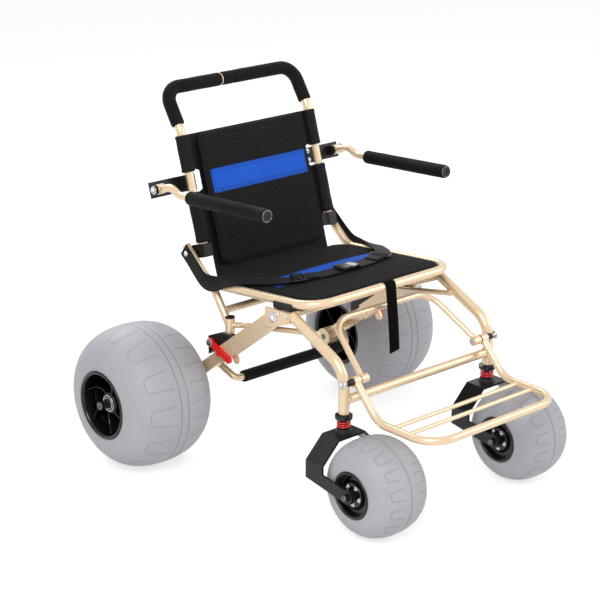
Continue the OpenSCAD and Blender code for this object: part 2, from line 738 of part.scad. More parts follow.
// Spoked wheel about the X axis: a rim barrel, a bored nave and thin deep webs set off the middle
rim_wall = 8;
nave_d = 44;
web_depth_share = 0.8;
web_offset_share = 0.22;
module spoked_wheel(w, rim_d, bore_d, nave, webs, web_t) {
    difference() {
        rotate([0, 90, 0]) union() {
            difference() {
                cylinder(d = rim_d, h = w, center = true);
                cylinder(d = rim_d - 2 * rim_wall, h = w + cut_over, center = true);
            }
            cylinder(d = nave, h = w, center = true);
            for (i = [0 : webs - 1]) rotate(i * 360 / webs)
                web(rim_d / 2 - rim_wall / 2, w * web_depth_share, nave * web_offset_share, web_t);
        }
        rotate([0, 90, 0]) cylinder(d = bore_d + 2 * run_play, h = w + 2 * cut_over, center = true);
    }
}
module web(reach, depth, offset, t) {
    translate([0, offset, -depth / 2]) cube([sqrt(pow(reach, 2) - pow(offset + t, 2)), t, depth]);
}

module rear_wheel_at(s) { placed() on_side(s) translate([rear_track / 2, 0, rear_tyre_d / 2]) children(); }
module rear_tyre(s) color(grey) rear_wheel_at(s) balloon_tyre(rear_tyre_d, rear_tyre_w, rear_rim_d);
rear_webs = 6;
rear_web_t = 6;
module rear_hub(s) color(black) rear_wheel_at(s)
    spoked_wheel(hub_w, rear_rim_d, rear_axle_d, nave_d, rear_webs, rear_web_t);
module rear_tyre_right() { rear_tyre(-1); }
module rear_tyre_left() { rear_tyre(1); }
module rear_hub_right() { rear_hub(-1); }
module rear_hub_left() { rear_hub(1); }

// Backrest, drawn upright on the hinge line and leaned back
module on_back() { placed() translate([0, hinge_y, hinge_z]) rotate([-back_lean, 0, 0]) children(); }
back_x = back_span / 2;
hinge_setback = 26;
handle_bend = 16;
handle_rise = handle_arm_len * cos(handle_bend);
handle_back = handle_arm_len * sin(handle_bend);
handle_bend_r = 42;
upright_drop = 16;
back_path = [
    [-back_x, -hinge_setback, -upright_drop],
    [-back_x, -hinge_setback, upright_len],
    [-back_x, -hinge_setback + handle_back, upright_len + handle_rise],
    [back_x, -hinge_setback + handle_back, upright_len + handle_rise],
    [back_x, -hinge_setback, upright_len],
    [back_x, -hinge_setback, -upright_drop]
];
module back_solid(d) { bent_tube(back_path, handle_bend_r, d); }
module back_tube() color(gold) on_back() back_solid(back_tube_d);

// Hinge blocks clamp the uprights and reach back to the hinge bolt
hinge_block_h = 34;
module hinge_blocks() color(black) on_back() both_sides() difference() {
    union() {
        translate([back_x - hinge_block_w / 2, -hinge_block_l, -hinge_block_h / 2])
            cube([hinge_block_w, hinge_block_l, hinge_block_h]);
        translate([back_x - hinge_block_w / 2, 0, 0]) rotate([0, 90, 0])
            cylinder(d = hinge_block_h, h = hinge_reach_w);
    }
    rod([back_x, -hinge_setback, -hinge_block_h], [back_x, -hinge_setback, hinge_block_h], back_tube_d);
    cross_rod(0, 2 * back_x, 0, 0, hinge_bolt_d + 2 * run_play);
}
hinge_wall = 4;
hinge_block_l = hinge_setback + back_tube_d / 2 + hinge_wall;
hinge_reach_w = rail_x - rail_d / 2 - clear_gap - back_x + hinge_block_w / 2;

// Foam on the push handle in three lengths, with gold showing at the gaps
grip_start = 8;
grip_gap = 3;
grip_gap_share = 0.16;
grip_seam_share = -0.04;
grip_root = back_path[1]
    + unit(back_path[2] - back_path[1]) * (grip_start + setback(back_path, 1, handle_bend_r));
grip_path = [grip_root, back_path[2], back_path[3], [-grip_root.x, grip_root.y, grip_root.z]];
module handle_grips() color(black) on_back() difference() {
    bent_tube(grip_path, handle_bend_r, grip_d);
    bent_tube([back_path[1], back_path[2], back_path[3], back_path[4]], handle_bend_r, back_tube_d);
    for (x = [-back_x * grip_gap_share, -back_x * grip_seam_share])
        cross_rod(x - grip_gap / 2, x + grip_gap / 2, back_path[2].y, back_path[2].z, 2 * grip_d);
}

// Back cover: sleeves on the uprights above and below the arm brackets, joined by a panel with a lower flap
sleeve_d = back_tube_d + 12;
sleeve_low = 20;
window_low = 146;
window_high = 198;
sleeve_high = 290;
panel_t = 4;
window_w = 62;
flap_low = -70;
flap_w = 376;
module back_cover() color(black) on_back() translate([0, -hinge_setback, 0]) difference() {
    union() {
        both_sides() {
            rod([back_x, 0, sleeve_low], [back_x, 0, window_low], sleeve_d);
            rod([back_x, 0, window_high], [back_x, 0, sleeve_high], sleeve_d);
        }
        translate([-back_x, -panel_t / 2, sleeve_low]) cube([back_span, panel_t, sleeve_high - sleeve_low]);
        translate([-flap_w / 2, -panel_t / 2, flap_low]) cube([flap_w, panel_t, sleeve_high - flap_low]);
    }
    both_sides() {
        rod([back_x, 0, 0], [back_x, 0, upright_len], back_tube_d);
        translate([back_x - window_w / 2, -sleeve_d, window_low])
            cube([window_w, 2 * sleeve_d, window_high - window_low]);
    }
}

// Back pad, crowned towards the sitter, on the front of the panel
back_pad_w = 336;
back_pad_low = -46;
back_pad_high = 284;
back_pad_h = 14;
back_pad_crown = 10;
back_pad_draw_share = 0.015;
module on_back_pad() {
    on_back() translate([0, -hinge_setback - panel_t / 2, (back_pad_low + back_pad_high) / 2])
        rotate([90, 0, 0]) children();
}
module back_pad() color(black) on_back_pad()
    crowned_pad(back_pad_w, back_pad_high - back_pad_low, back_pad_h, back_pad_crown, back_pad_draw_share);
back_band_w = 312;
back_band_l = 60;
back_band_rise = 44;
module back_stripe() color(blue) on_back_pad()
    translate([-back_band_w / 2, back_band_rise - back_band_l / 2, back_pad_h + back_pad_crown + lay_gap])
        cube([back_band_w, back_band_l, band_t]);

// Arm brackets clamp the uprights and hold each arm eye between two ears
arm_x = arm_span / 2;
arm_setback = 18;
arm_bolt_d = 8;
arm_eye_w = 22;
arm_eye_d = 25;
ear_t = 6;
ear_gap = 0.4;
bracket_h = 40;
bracket_wall = 5;
bracket_bridge_t = 6;
arm_bracket_z = (window_low + window_high) / 2;
arm_y = -hinge_setback + arm_setback;
bridge_y = arm_y + arm_eye_d / 2 + clear_gap;
ear_x = arm_x + arm_eye_w / 2 + ear_gap;
bracket_l = bridge_y + bracket_bridge_t + hinge_setback;
module arm_ear(x) {
    translate([x, arm_y, arm_bracket_z]) rotate([0, 90, 0]) cylinder(d = arm_eye_d, h = ear_t);
    translate([x, arm_y, arm_bracket_z - arm_eye_d / 2])
        cube([ear_t, bridge_y + bracket_bridge_t - arm_y, arm_eye_d]);
}
module arm_brackets() color(black) on_back() both_sides() difference() {
    union() {
        translate([back_x - back_tube_d / 2 - bracket_wall, -hinge_setback, arm_bracket_z - bracket_h / 2])
            cube([back_tube_d + 2 * bracket_wall, bracket_l, bracket_h]);
        translate([back_x, bridge_y, arm_bracket_z - bracket_h / 2])
            cube([ear_x + ear_t - back_x, bracket_bridge_t, bracket_h]);
        arm_ear(ear_x);
        arm_ear(2 * arm_x - ear_x - ear_t);
        cross_rod(2 * arm_x - ear_x, ear_x, arm_y, arm_bracket_z, arm_bolt_d - 2 * run_play);
        hex_head(ear_x + ear_t, arm_y, arm_bracket_z, arm_bolt_d);
    }
    rod([back_x, -hinge_setback, 0], [back_x, -hinge_setback, upright_len], back_tube_d);
}

// Arm: an eye on the bracket's bolt, a bent tube forwards and a foam pad.
// The pivot of the arm in the frame of the leaned back, turned into the frame of the chair
arm_pivot_y = hinge_y + arm_y * cos(back_lean) + arm_bracket_z * sin(back_lean);
arm_pivot_z = hinge_z - arm_y * sin(back_lean) + arm_bracket_z * cos(back_lean);
arm_neck_len = 80;
arm_neck_rise = 14;
arm_bend_r = 40;
arm_pad_back_y = arm_pivot_y - arm_neck_len;
arm_tip_z = arm_pivot_z + arm_rise;
arm_knee_share = 0.6;
arm_path = [
    [arm_x, arm_pivot_y, arm_pivot_z],
    [arm_x, arm_pivot_y - arm_neck_len * arm_knee_share, arm_pivot_z + arm_neck_rise],
    [arm_x, arm_pad_back_y, arm_pivot_z],
    [arm_x, arm_pad_back_y - arm_pad_len, arm_tip_z]
];
module arm_tube(s) color(gold) placed() on_side(s) difference() {
    union() {
        bent_tube(arm_path, arm_bend_r, arm_tube_d);
        cross_rod(arm_x - arm_eye_w / 2, arm_x + arm_eye_w / 2, arm_pivot_y, arm_pivot_z, arm_eye_d);
    }
    cross_rod(arm_x - arm_eye_w, arm_x + arm_eye_w, arm_pivot_y, arm_pivot_z, arm_bolt_d);
}
module arm_tube_right() { arm_tube(-1); }
module arm_tube_left() { arm_tube(1); }
arm_cap_t = 4;
module arm_pad(s) color(black) placed() on_side(s) {
    u = unit(arm_path[3] - arm_path[2]);
    a = arm_path[2] + u * arm_bend_r;
    b = arm_path[3];
    difference() {
        rod(a, b + u * arm_cap_t, grip_d);
        rod(a - u * cut_over, b, arm_tube_d);
    }
}
module arm_pad_right() { arm_pad(-1); }
module arm_pad_left() { arm_pad(1); }

// Footrest: a U tube that drops from its bolts, runs forwards and closes in a round front
foot_drop_reach = 668;
foot_bend_r = 66;
foot_path = [
    [-foot_side_x, -foot_pivot_reach, foot_pivot_z],
    [-foot_side_x, -foot_drop_reach, foot_z],
    [-foot_side_x, -foot_reach, foot_z],
    [foot_side_x, -foot_reach, foot_z],
    [foot_side_x, -foot_drop_reach, foot_z],
    [foot_side_x, -foot_pivot_reach, foot_pivot_z]
];
module foot_solid() { bent_tube(foot_path, foot_bend_r, foot_tube_d); }
module footrest_frame() color(gold) placed() difference() {
    union() {
        foot_solid();
        both_sides() cross_rod(foot_side_x - foot_eye_w / 2, foot_side_x + foot_eye_w / 2,
            -foot_pivot_reach, foot_pivot_z, foot_eye_d);
    }
    cross_rod(-leg_x, leg_x, -foot_pivot_reach, foot_pivot_z, foot_bolt_d);
}
slat_d = 10;
slat_first_reach = 712;
slat_step = 48;
slat_reaches = [slat_first_reach, slat_first_reach + slat_step];
module footrest_slats() color(gold) placed() difference() {
    for (y = slat_reaches) cross_rod(-foot_side_x, foot_side_x, -y, foot_z, slat_d);
    both_sides() rod(foot_path[1], foot_path[2], foot_tube_d);
}

// Caster stem: slides in the leg and carries the lower spring collar and the fork
front_r = front_tyre_d / 2;
collar_d = 40;
collar_h = 10;
spring_room = 24;
collar_top_z = leg_bottom_z - ring_lip - spring_room;
fork_top_z = collar_top_z - collar_h - clear_gap;
fork_t = 6;
stem_up = leg_bore_len - suspension_travel - cut_over;
stem_nut_d = 24;
stem_nut_h = 6;
module at_stem(s) { placed() on_side(s) translate([leg_x, -stem_reach, 0]) children(); }
module caster_stem(s) color(black) at_stem(s) {
    stem_low_z = fork_top_z - fork_t - clear_gap - stem_nut_h;
    translate([0, 0, stem_low_z]) cylinder(d = stem_d, h = leg_bottom_z + stem_up - stem_low_z);
    translate([0, 0, stem_low_z]) cylinder(d = stem_nut_d, h = stem_nut_h, $fn = 6);
    translate([0, 0, collar_top_z - collar_h])
        cylinder(d1 = collar_d, d2 = spring_d + spring_wire_d, h = collar_h);
}
module caster_stem_right() { caster_stem(-1); }
module caster_stem_left() { caster_stem(1); }

// Spring: one unbroken tube wound between the collar and the ring
spring_sides = 8;
spring_rings_per_turn = 8;
spring_len = spring_room - spring_wire_d - 2 * clear_gap;
spring_steps = spring_turns * spring_rings_per_turn;
function spring_at(k) =
    let (a = 360 * k / spring_rings_per_turn)
    [spring_d / 2 * cos(a), spring_d / 2 * sin(a), spring_len * k / spring_steps];
spring_line = [for (k = [0 : spring_steps]) spring_at(k)];
spring_self_gap = min([for (i = [0 : spring_steps - spring_rings_per_turn + 1])
    for (j = [i + spring_rings_per_turn - 1 : min(spring_steps, i + spring_rings_per_turn + 1)])
        norm(spring_line[i] - spring_line[j])]) - spring_wire_d;
echo(str("Least gap of a caster spring to itself: ", spring_self_gap, " mm"));
module coil_spring() {
    n = spring_sides;
    points = [for (k = [0 : spring_steps]) for (j = [0 : n - 1])
        let (a = 360 * k / spring_rings_per_turn, b = 360 * j / n)
        let (r = spring_d / 2 + spring_wire_d / 2 * cos(b))
        [r * cos(a), r * sin(a), spring_line[k].z + spring_wire_d / 2 * sin(b)]];
    last = spring_steps * n;
    side = [for (k = [0 : spring_steps - 1]) for (j = [0 : n - 1])
        let (a = k * n + j, b = k * n + (j + 1) % n, c = a + n, d = b + n)
        each [[a, b, c], [b, d, c]]];
    caps = [for (j = [1 : n - 2]) each [[0, j + 1, j], [last, last + j, last + j + 1]]];
    polyhedron(points, concat(side, caps), convexity = 8);
}
module caster_spring(s) color(red) at_stem(s)
    translate([0, 0, collar_top_z + spring_wire_d / 2 + lay_gap]) coil_spring();
module caster_spring_right() { caster_spring(-1); }
module caster_spring_left() { caster_spring(1); }

// Fork: a folded plate over the tyre, with legs that slope forwards to the axle bolt
fork_gap = 6;
fork_leg_x = front_tyre_w / 2 + fork_gap;
fork_flat_w = 84;
fork_depth = 56;
fork_shoulder_z = fork_top_z - (fork_leg_x + fork_t - fork_flat_w / 2);
fork_foot_d = 36;
fork_waist = 44;
fork_band = [
    [-fork_leg_x - fork_t, fork_shoulder_z],
    [-fork_flat_w / 2, fork_top_z],
    [fork_flat_w / 2, fork_top_z],
    [fork_leg_x + fork_t, fork_shoulder_z],
    [fork_leg_x + fork_t, fork_shoulder_z - fork_waist],
    [fork_leg_x, fork_shoulder_z - fork_waist],
    [fork_leg_x, fork_shoulder_z - fork_t / 2],
    [fork_flat_w / 2 - fork_t / 2, fork_top_z - fork_t],
    [-fork_flat_w / 2 + fork_t / 2, fork_top_z - fork_t],
    [-fork_leg_x, fork_shoulder_z - fork_t / 2],
    [-fork_leg_x, fork_shoulder_z - fork_waist],
    [-fork_leg_x - fork_t, fork_shoulder_z - fork_waist]
];
fork_leg_outline = [
    [fork_depth / 2, fork_shoulder_z],
    [-fork_depth / 2, fork_shoulder_z],
    [-fork_depth / 2, fork_shoulder_z - fork_waist / 2],
    [-caster_trail - fork_foot_d / 3, front_r + fork_foot_d / 3],
    [-caster_trail, front_r - fork_foot_d / 2],
    [fork_depth / 2, fork_shoulder_z - fork_waist]
];
front_hub_share = 0.84;
front_hub_w = front_tyre_w * front_hub_share;
module fork(s) color(black) at_stem(s) difference() {
    union() {
        rotate([90, 0, 0]) translate([0, 0, -fork_depth / 2]) linear_extrude(fork_depth) polygon(fork_band);
        both_sides() {
            side_plate(fork_leg_outline, fork_leg_x, fork_leg_x + fork_t);
            cross_rod(fork_leg_x, fork_leg_x + fork_t, -caster_trail, front_r, fork_foot_d);
            cross_rod(front_hub_w / 2 + clear_gap, fork_leg_x, -caster_trail, front_r, axle_collar_d);
            hex_head(fork_leg_x + fork_t, -caster_trail, front_r, front_axle_d);
        }
        cross_rod(-fork_leg_x, fork_leg_x, -caster_trail, front_r, front_axle_d);
    }
    cylinder(d = stem_d + 2 * run_play, h = 2 * fork_top_z);
}
module fork_right() { fork(-1); }
module fork_left() { fork(1); }

module caster_wheel_at(s) { at_stem(s) translate([0, -caster_trail, front_r]) children(); }
module caster_tyre(s) color(grey) caster_wheel_at(s) balloon_tyre(front_tyre_d, front_tyre_w, front_rim_d);
front_webs = 5;
front_web_t = 7;
front_nave_d = 36;
module caster_hub(s) color(black) caster_wheel_at(s)
    spoked_wheel(front_hub_w, front_rim_d, front_axle_d, front_nave_d, front_webs, front_web_t);
module caster_tyre_right() { caster_tyre(-1); }
module caster_tyre_left() { caster_tyre(1); }
module caster_hub_right() { caster_hub(-1); }
module caster_hub_left() { caster_hub(1); }

echo(shift = frame_shift, hinge = [hinge_y + frame_shift, hinge_z]);
echo(arm = [arm_pivot_y + frame_shift, arm_pivot_z]);

seat_rail();
rear_struts();
strut_plugs();
strut_cross_tube();
lower_stays();
front_leg_right();
front_leg_left();
knuckles();
knuckle_cross_tube();
saddles();
front_crossbar();
calf_hoop();
seat_pad();
seat_stripe();
belt_right();
belt_left();
belt_adjusters();
belt_buckle();
storage_strap();
spring_rings();
footrest_spacers();
frame_bolts();
beam_right();
beam_left();
rear_bar();
rear_bar_grip();
latch_blocks();
axle_right();
axle_left();
latch_lever_right();
latch_lever_left();
rear_tyre_right();
rear_hub_right();
rear_tyre_left();
rear_hub_left();
back_tube();
handle_grips();
back_cover();
back_pad();
back_stripe();
hinge_blocks();
arm_brackets();
arm_tube_right();
arm_pad_right();
arm_tube_left();
arm_pad_left();
footrest_frame();
footrest_slats();
caster_stem_right();
caster_spring_right();
fork_right();
caster_tyre_right();
caster_hub_right();
caster_stem_left();
caster_spring_left();
fork_left();
caster_tyre_left();
caster_hub_left();
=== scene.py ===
import bisect
import itertools
import json
import math
import bmesh
import bpy
from mathutils import Matrix, Vector, noise


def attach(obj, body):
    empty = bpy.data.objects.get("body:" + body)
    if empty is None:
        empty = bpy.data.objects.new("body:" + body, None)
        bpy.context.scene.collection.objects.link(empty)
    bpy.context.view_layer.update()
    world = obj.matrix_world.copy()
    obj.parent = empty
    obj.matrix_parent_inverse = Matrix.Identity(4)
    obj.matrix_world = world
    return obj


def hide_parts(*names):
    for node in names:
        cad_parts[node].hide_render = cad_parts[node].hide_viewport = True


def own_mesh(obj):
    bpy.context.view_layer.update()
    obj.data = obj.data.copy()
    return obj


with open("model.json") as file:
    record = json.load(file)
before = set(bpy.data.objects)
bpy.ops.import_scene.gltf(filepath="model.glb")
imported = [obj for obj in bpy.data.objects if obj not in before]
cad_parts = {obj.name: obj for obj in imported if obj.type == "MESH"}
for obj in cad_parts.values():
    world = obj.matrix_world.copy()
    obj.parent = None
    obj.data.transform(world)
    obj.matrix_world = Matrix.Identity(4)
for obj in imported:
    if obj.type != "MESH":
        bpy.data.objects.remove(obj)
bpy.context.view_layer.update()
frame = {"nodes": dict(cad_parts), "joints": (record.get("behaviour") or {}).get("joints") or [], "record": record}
N = frame["nodes"]
SIDES = (("right", -1), ("left", 1))
X, Y, Z = Vector((1, 0, 0)), Vector((0, 1, 0)), Vector((0, 0, 1))

# Places, in metres, from the frame's joints; x is that of the left side
JOINT = {j["name"]: j["pos_m"] for j in frame["joints"] if "pos_m" in j}
REAR_X, AXLE_Y, AXLE_Z = JOINT["rear_wheel_spin_left"]
CASTER_X, CASTER_Y, CASTER_Z = JOINT["caster_spin_left"]
STEM_Y = JOINT["caster_swivel_left"][1]
ARM_X, ARM_Y, ARM_Z = JOINT["arm_lift_left"]
KNUCKLE_Y, KNUCKLE_Z = JOINT["rear_leg_fold"][1:]
FOOT_Y, FOOT_Z = JOINT["footrest_fold"][1:]
LATCH_Y, LATCH_Z = JOINT["latch_lift_left"][1:]
HINGE = Vector(JOINT["back_fold"])

# The seat rail and the back tube, as in the part's source; a reach is measured forwards from the rear axle
RAIL_X = 0.235
RAIL_REAR_REACH, RAIL_REAR_Z = 0.082, 0.456
RAIL_FRONT_REACH, RAIL_FRONT_Z = 0.464, 0.491
SEAT_SLOPE = math.atan((RAIL_FRONT_Z - RAIL_REAR_Z) / (RAIL_FRONT_REACH - RAIL_REAR_REACH))
BACK_X, BACK_Y = 0.21, -0.026
BACK = Matrix.Translation(HINGE) @ Matrix.Rotation(math.radians(-17), 4, "X")


def fore(reach):
    """The y of a place this far forwards from the rear axle."""
    return AXLE_Y - reach


def seat_point(x, reach, lift):
    """Point over the plane of the seat rail."""
    z = RAIL_REAR_Z + (reach - RAIL_REAR_REACH) * math.tan(SEAT_SLOPE)
    return Vector((x, fore(reach) + lift * math.sin(SEAT_SLOPE), z + lift * math.cos(SEAT_SLOPE)))


def back_point(x, y, z):
    """Point in the frame of the leaned back: y is backwards from the hinge line and z up the back."""
    return BACK @ Vector((x, y, z))


# Objects and meshes

def add(name, data):
    """New object in the scene."""
    ob = bpy.data.objects.new(name, data)
    bpy.context.scene.collection.objects.link(ob)
    return ob


def mesh(name, verts, faces, mat, smooth=True):
    """New object from points and faces, its normals turned outwards."""
    me = bpy.data.meshes.new(name)
    me.from_pydata([tuple(v) for v in verts], [], faces)
    me.validate()
    bm = bmesh.new()
    bm.from_mesh(me)
    bmesh.ops.recalc_face_normals(bm, faces=bm.faces)
    bm.to_mesh(me)
    bm.free()
    me.polygons.foreach_set("use_smooth", [smooth] * len(me.polygons))
    me.materials.append(mat)
    return add(name, me)


def weave_coords(ob, pts):
    """Keeps (u, v) in metres at each point for the weave."""
    at = ob.data.attributes.new("weave", "FLOAT_VECTOR", "POINT")
    at.data.foreach_set("vector", [c for p in pts for c in (p[0], p[1], 0)])


def soften(ob, width):
    """Rounds the sharp edges of a node."""
    m = ob.modifiers.new("edge", "BEVEL")
    m.width = width
    m.segments = 2
    m.limit_method = "ANGLE"
    m.angle_limit = math.radians(35)
    m.harden_normals = True
    for p in ob.data.polygons:
        p.use_smooth = True


def ride(ob, body, *nodes):
    """Fixes a piece to a body, in the place of the nodes that it stands for."""
    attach(ob, body)
    if nodes:
        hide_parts(*nodes)
    return ob


def fillet(pts, radius, per=10):
    """Polyline with each inner corner turned on an arc."""
    pts = [Vector(p) for p in pts]
    out = [pts[0]]
    for a, b, c in zip(pts, pts[1:], pts[2:]):
        u, w = (b - a).normalized(), (c - b).normalized()
        angle = u.angle(w)
        n = square(w, u)
        centre = b - u * radius * math.tan(angle / 2) + n * radius
        for k in range(per + 1):
            f = angle * k / per
            out.append(centre - n * radius * math.cos(f) + u * radius * math.sin(f))
    return out + [pts[-1]]


def runs(line):
    """Distance from the start at each point of a line."""
    return [0.0, *itertools.accumulate((b - a).length for a, b in zip(line, line[1:]))]


def locate(run, s):
    """Segment of a line, and the share of it, at a distance from the start."""
    i = min(max(bisect.bisect_right(run, s) - 1, 0), len(run) - 2)
    return i, min(1.0, max(0, (s - run[i]) / max(run[i + 1] - run[i], 1e-9)))


def resample(pts, step):
    """Points at even steps along a line."""
    run = runs(pts)
    n = max(2, int(round(run[-1] / step)))
    spots = [locate(run, run[-1] * k / n) for k in range(n + 1)]
    return [pts[i].lerp(pts[i + 1], f) for i, f in spots]


def square(v, t):
    """Direction of the part of v that is square to t."""
    return (v - t * v.dot(t)).normalized()


def tangent(pts, i):
    return (pts[min(i + 1, len(pts) - 1)] - pts[max(i - 1, 0)]).normalized()


def frames(pts):
    """Side and normal at each point of a line, turned as little as possible."""
    out = []
    for i in range(len(pts)):
        t = tangent(pts, i)
        before = out[-1][1] if out else (Z if abs(t.z) < 0.9 else Y)
        n = square(before, t)
        out.append((t.cross(n), n))
    return out


def around(centre, e1, e2, radius, count):
    """Points of a circle in the plane of e1 and e2."""
    turns = [2 * math.pi * j / count for j in range(count)]
    return [centre + (e1 * math.cos(a) + e2 * math.sin(a)) * radius for a in turns]


def skin(rows, per, closed=False, first=0):
    """Quads between rows of points, each row a ring of so many; closed joins the last row to the first."""
    return [(first + i * per + j, first + i * per + (j + 1) % per,
             first + (i + 1) % rows * per + (j + 1) % per, first + (i + 1) % rows * per + j)
            for i in range(rows if closed else rows - 1) for j in range(per)]


def lids(rows, per, first=0):
    """The two end faces of an open skin."""
    last = first + (rows - 1) * per
    return [tuple(range(first, first + per))[::-1], tuple(range(last, last + per))]


def sleeve(name, pts, outer, bore, mat, segs=28):
    """Tube with a bore along a line. outer(i, n, angle) gives the outside radius."""
    sides, n = frames(pts), len(pts)
    verts = []
    for i, (p, (side, up)) in enumerate(zip(pts, sides)):
        for j in range(segs):
            a = 2 * math.pi * j / segs
            verts.append(p + (side * math.cos(a) + up * math.sin(a)) * outer(i, n, a))
    for i in reversed(range(n)):
        verts += around(pts[i], *sides[i], bore, segs)
    return mesh(name, verts, skin(2 * n, segs, True), mat)


def tube(name, pts, radius, mat, segs=12, about=None):
    """Round rod along a line, or a closed ring about an axis. radius is a number or a function of i."""
    n = len(pts)
    if about is None:
        sides = frames(pts)
    else:
        sides = []
        for i in range(n):
            t = (pts[(i + 1) % n] - pts[i - 1]).normalized()
            up = square(about, t)
            sides.append((t.cross(up), up))
    verts = []
    for i, p in enumerate(pts):
        verts += around(p, *sides[i], radius(i) if callable(radius) else radius, segs)
    faces = skin(n, segs, True) if about is not None else skin(n, segs) + lids(n, segs)
    return mesh(name, verts, faces, mat)


def ribbon(name, pts, normals, width, thick, mat):
    """Strap with rounded selvedges along a line, with a normal at each point."""
    face = [(share, 0.5) for share in (-0.47, -0.3, -0.1, 0.1, 0.3, 0.47)]
    profile = [(-0.5, 0), *face, (0.5, 0), *[(share, -half) for share, half in face[::-1]]]
    verts, uv, run = [], [], 0.0
    for i, p in enumerate(pts):
        t = tangent(pts, i)
        up = square(normals[i], t)
        side = t.cross(up)
        run += (p - pts[i - 1]).length if i else 0.0
        for share, half in profile:
            verts.append(p + side * share * width + up * half * thick)
            uv.append((run, share * width))
    n, per = len(pts), len(profile)
    ob = mesh(name, verts, skin(n, per) + lids(n, per), mat)
    weave_coords(ob, uv)
    return ob


def turned(profile, mat, to, segs=40, smooth=True):
    """Solid of revolution about the X axis of a place, a ring where the profile keeps off the axis. The profile lists
    (distance along the axis, radius)."""
    verts, faces, rows = [], [], []
    for x, r in profile:
        row = around(X * x, Y, Z, r, segs) if r else [X * x]
        rows.append(range(len(verts), len(verts) + len(row)))
        verts += [to @ v for v in row]
    if len(rows[0]) > 1 and len(rows[-1]) > 1:
        rows.append(rows[0])
    for p, q in zip(rows, rows[1:]):
        for j in range(segs):
            k = (j + 1) % segs
            corners = (p[j % len(p)], p[k % len(p)], q[k % len(q)], q[j % len(q)])
            faces.append(tuple(dict.fromkeys(corners)))
    return mesh("turned", verts, faces, mat, smooth)


def mirrored(half):
    """Profile followed by its mirror image about the middle of the axis."""
    return half + [(-x, r) for x, r in half[::-1]]


def toward(p, d):
    """Place at p with the X axis along d."""
    return Matrix.Translation(p) @ Vector(d).normalized().to_track_quat("X", "Z").to_matrix().to_4x4()


def join(name, obs):
    """One object from several, materials kept."""
    bm = bmesh.new()
    mats, merged = [], bpy.data.meshes.new(name)
    for o in obs:
        mat, start = o.data.materials[0], len(bm.faces)
        if mat not in mats:
            mats.append(mat)
        bm.from_mesh(o.data)
        bm.faces.ensure_lookup_table()
        for f in bm.faces[start:]:
            f.material_index = mats.index(mat)
        old = o.data
        bpy.data.objects.remove(o)
        bpy.data.meshes.remove(old)
    bm.to_mesh(merged)
    bm.free()
    for mat in mats:
        merged.materials.append(mat)
    return add(name, merged)


# Materials: each has its own pattern, in the object's own metres or along its weave

class Nodes:
    """The node tree of a material or a world."""

    def __init__(self, owner):
        owner.use_nodes = True
        self.tree = owner.node_tree

    def feed(self, socket, value):
        """Gives an input a value or a link from another socket."""
        if isinstance(value, bpy.types.NodeSocket):
            self.tree.links.new(value, socket)
        else:
            socket.default_value = value

    def node(self, kind, **values):
        """New node with its settings and inputs."""
        n = self.tree.nodes.new("ShaderNode" + kind)
        for key, value in values.items():
            if key in n.inputs:
                self.feed(n.inputs[key], value)
            else:
                setattr(n, key, value)
        return n

    def math(self, operation, a, b):
        n = self.node("Math", operation=operation)
        self.feed(n.inputs[0], a)
        self.feed(n.inputs[1], b)
        return n.outputs["Value"]

    def seen_by_eye(self):
        """1 for rays from the camera, a mirror or a clear body, which see the surround as white."""
        ray = self.node("LightPath").outputs
        straight = self.math("MAXIMUM", ray["Is Camera Ray"], ray["Is Glossy Ray"])
        return self.math("MAXIMUM", straight, ray["Is Transmission Ray"])


class Shader(Nodes):
    """A material with a principled surface."""

    def __init__(self, name, low, high, values):
        base = (*[(a + b) / 2 for a, b in zip(low, high)], 1)
        self.mat = bpy.data.materials.new(name)
        super().__init__(self.mat)
        self.mat.diffuse_color = base
        self.inputs = self.tree.nodes["Principled BSDF"].inputs
        for key, value in {"Base Color": base, **values}.items():
            self.feed(self.inputs[key], value)

    def place(self, scale=(1, 1, 1), turn=0, weave=False):
        """Coordinates in metres, scaled and turned; from the weave attribute or the object."""
        if weave:
            c = self.node("Attribute", attribute_name="weave").outputs["Vector"]
        else:
            c = self.node("TexCoord").outputs["Object"]
        return self.node("Mapping", Scale=scale, Rotation=(0, 0, math.radians(turn)), Vector=c).outputs["Vector"]

    def noise(self, scale, detail):
        return self.node("TexNoise", Scale=scale, Detail=detail, Roughness=0.55, Vector=self.place()).outputs["Fac"]

    def ramp(self, fac, stops):
        """Colours, or plain levels, between stops of a value."""
        r = self.node("ValToRGB", Fac=fac)
        e = r.color_ramp.elements
        while len(e) < len(stops):
            e.new(0.5)
        for k, (pos, col) in zip(e, stops):
            k.position = pos
            k.color = (*col, 1) if hasattr(col, "__len__") else (col, col, col, 1)
        return r.outputs["Color"]

    def darken(self, colour, by, share):
        """The colour multiplied by another, as far as the share says."""
        mix = self.node("Mix", data_type="RGBA", blend_type="MULTIPLY", Factor=share, A=colour, B=by)
        return mix.outputs["Result"]

    def surface(self, colour, height, strength, distance):
        """Links the colour and the relief to the surface."""
        self.feed(self.inputs["Base Color"], colour)
        bump = self.node("Bump", Strength=strength, Distance=distance, Height=height)
        self.feed(self.inputs["Normal"], bump.outputs["Normal"])
        return self.mat


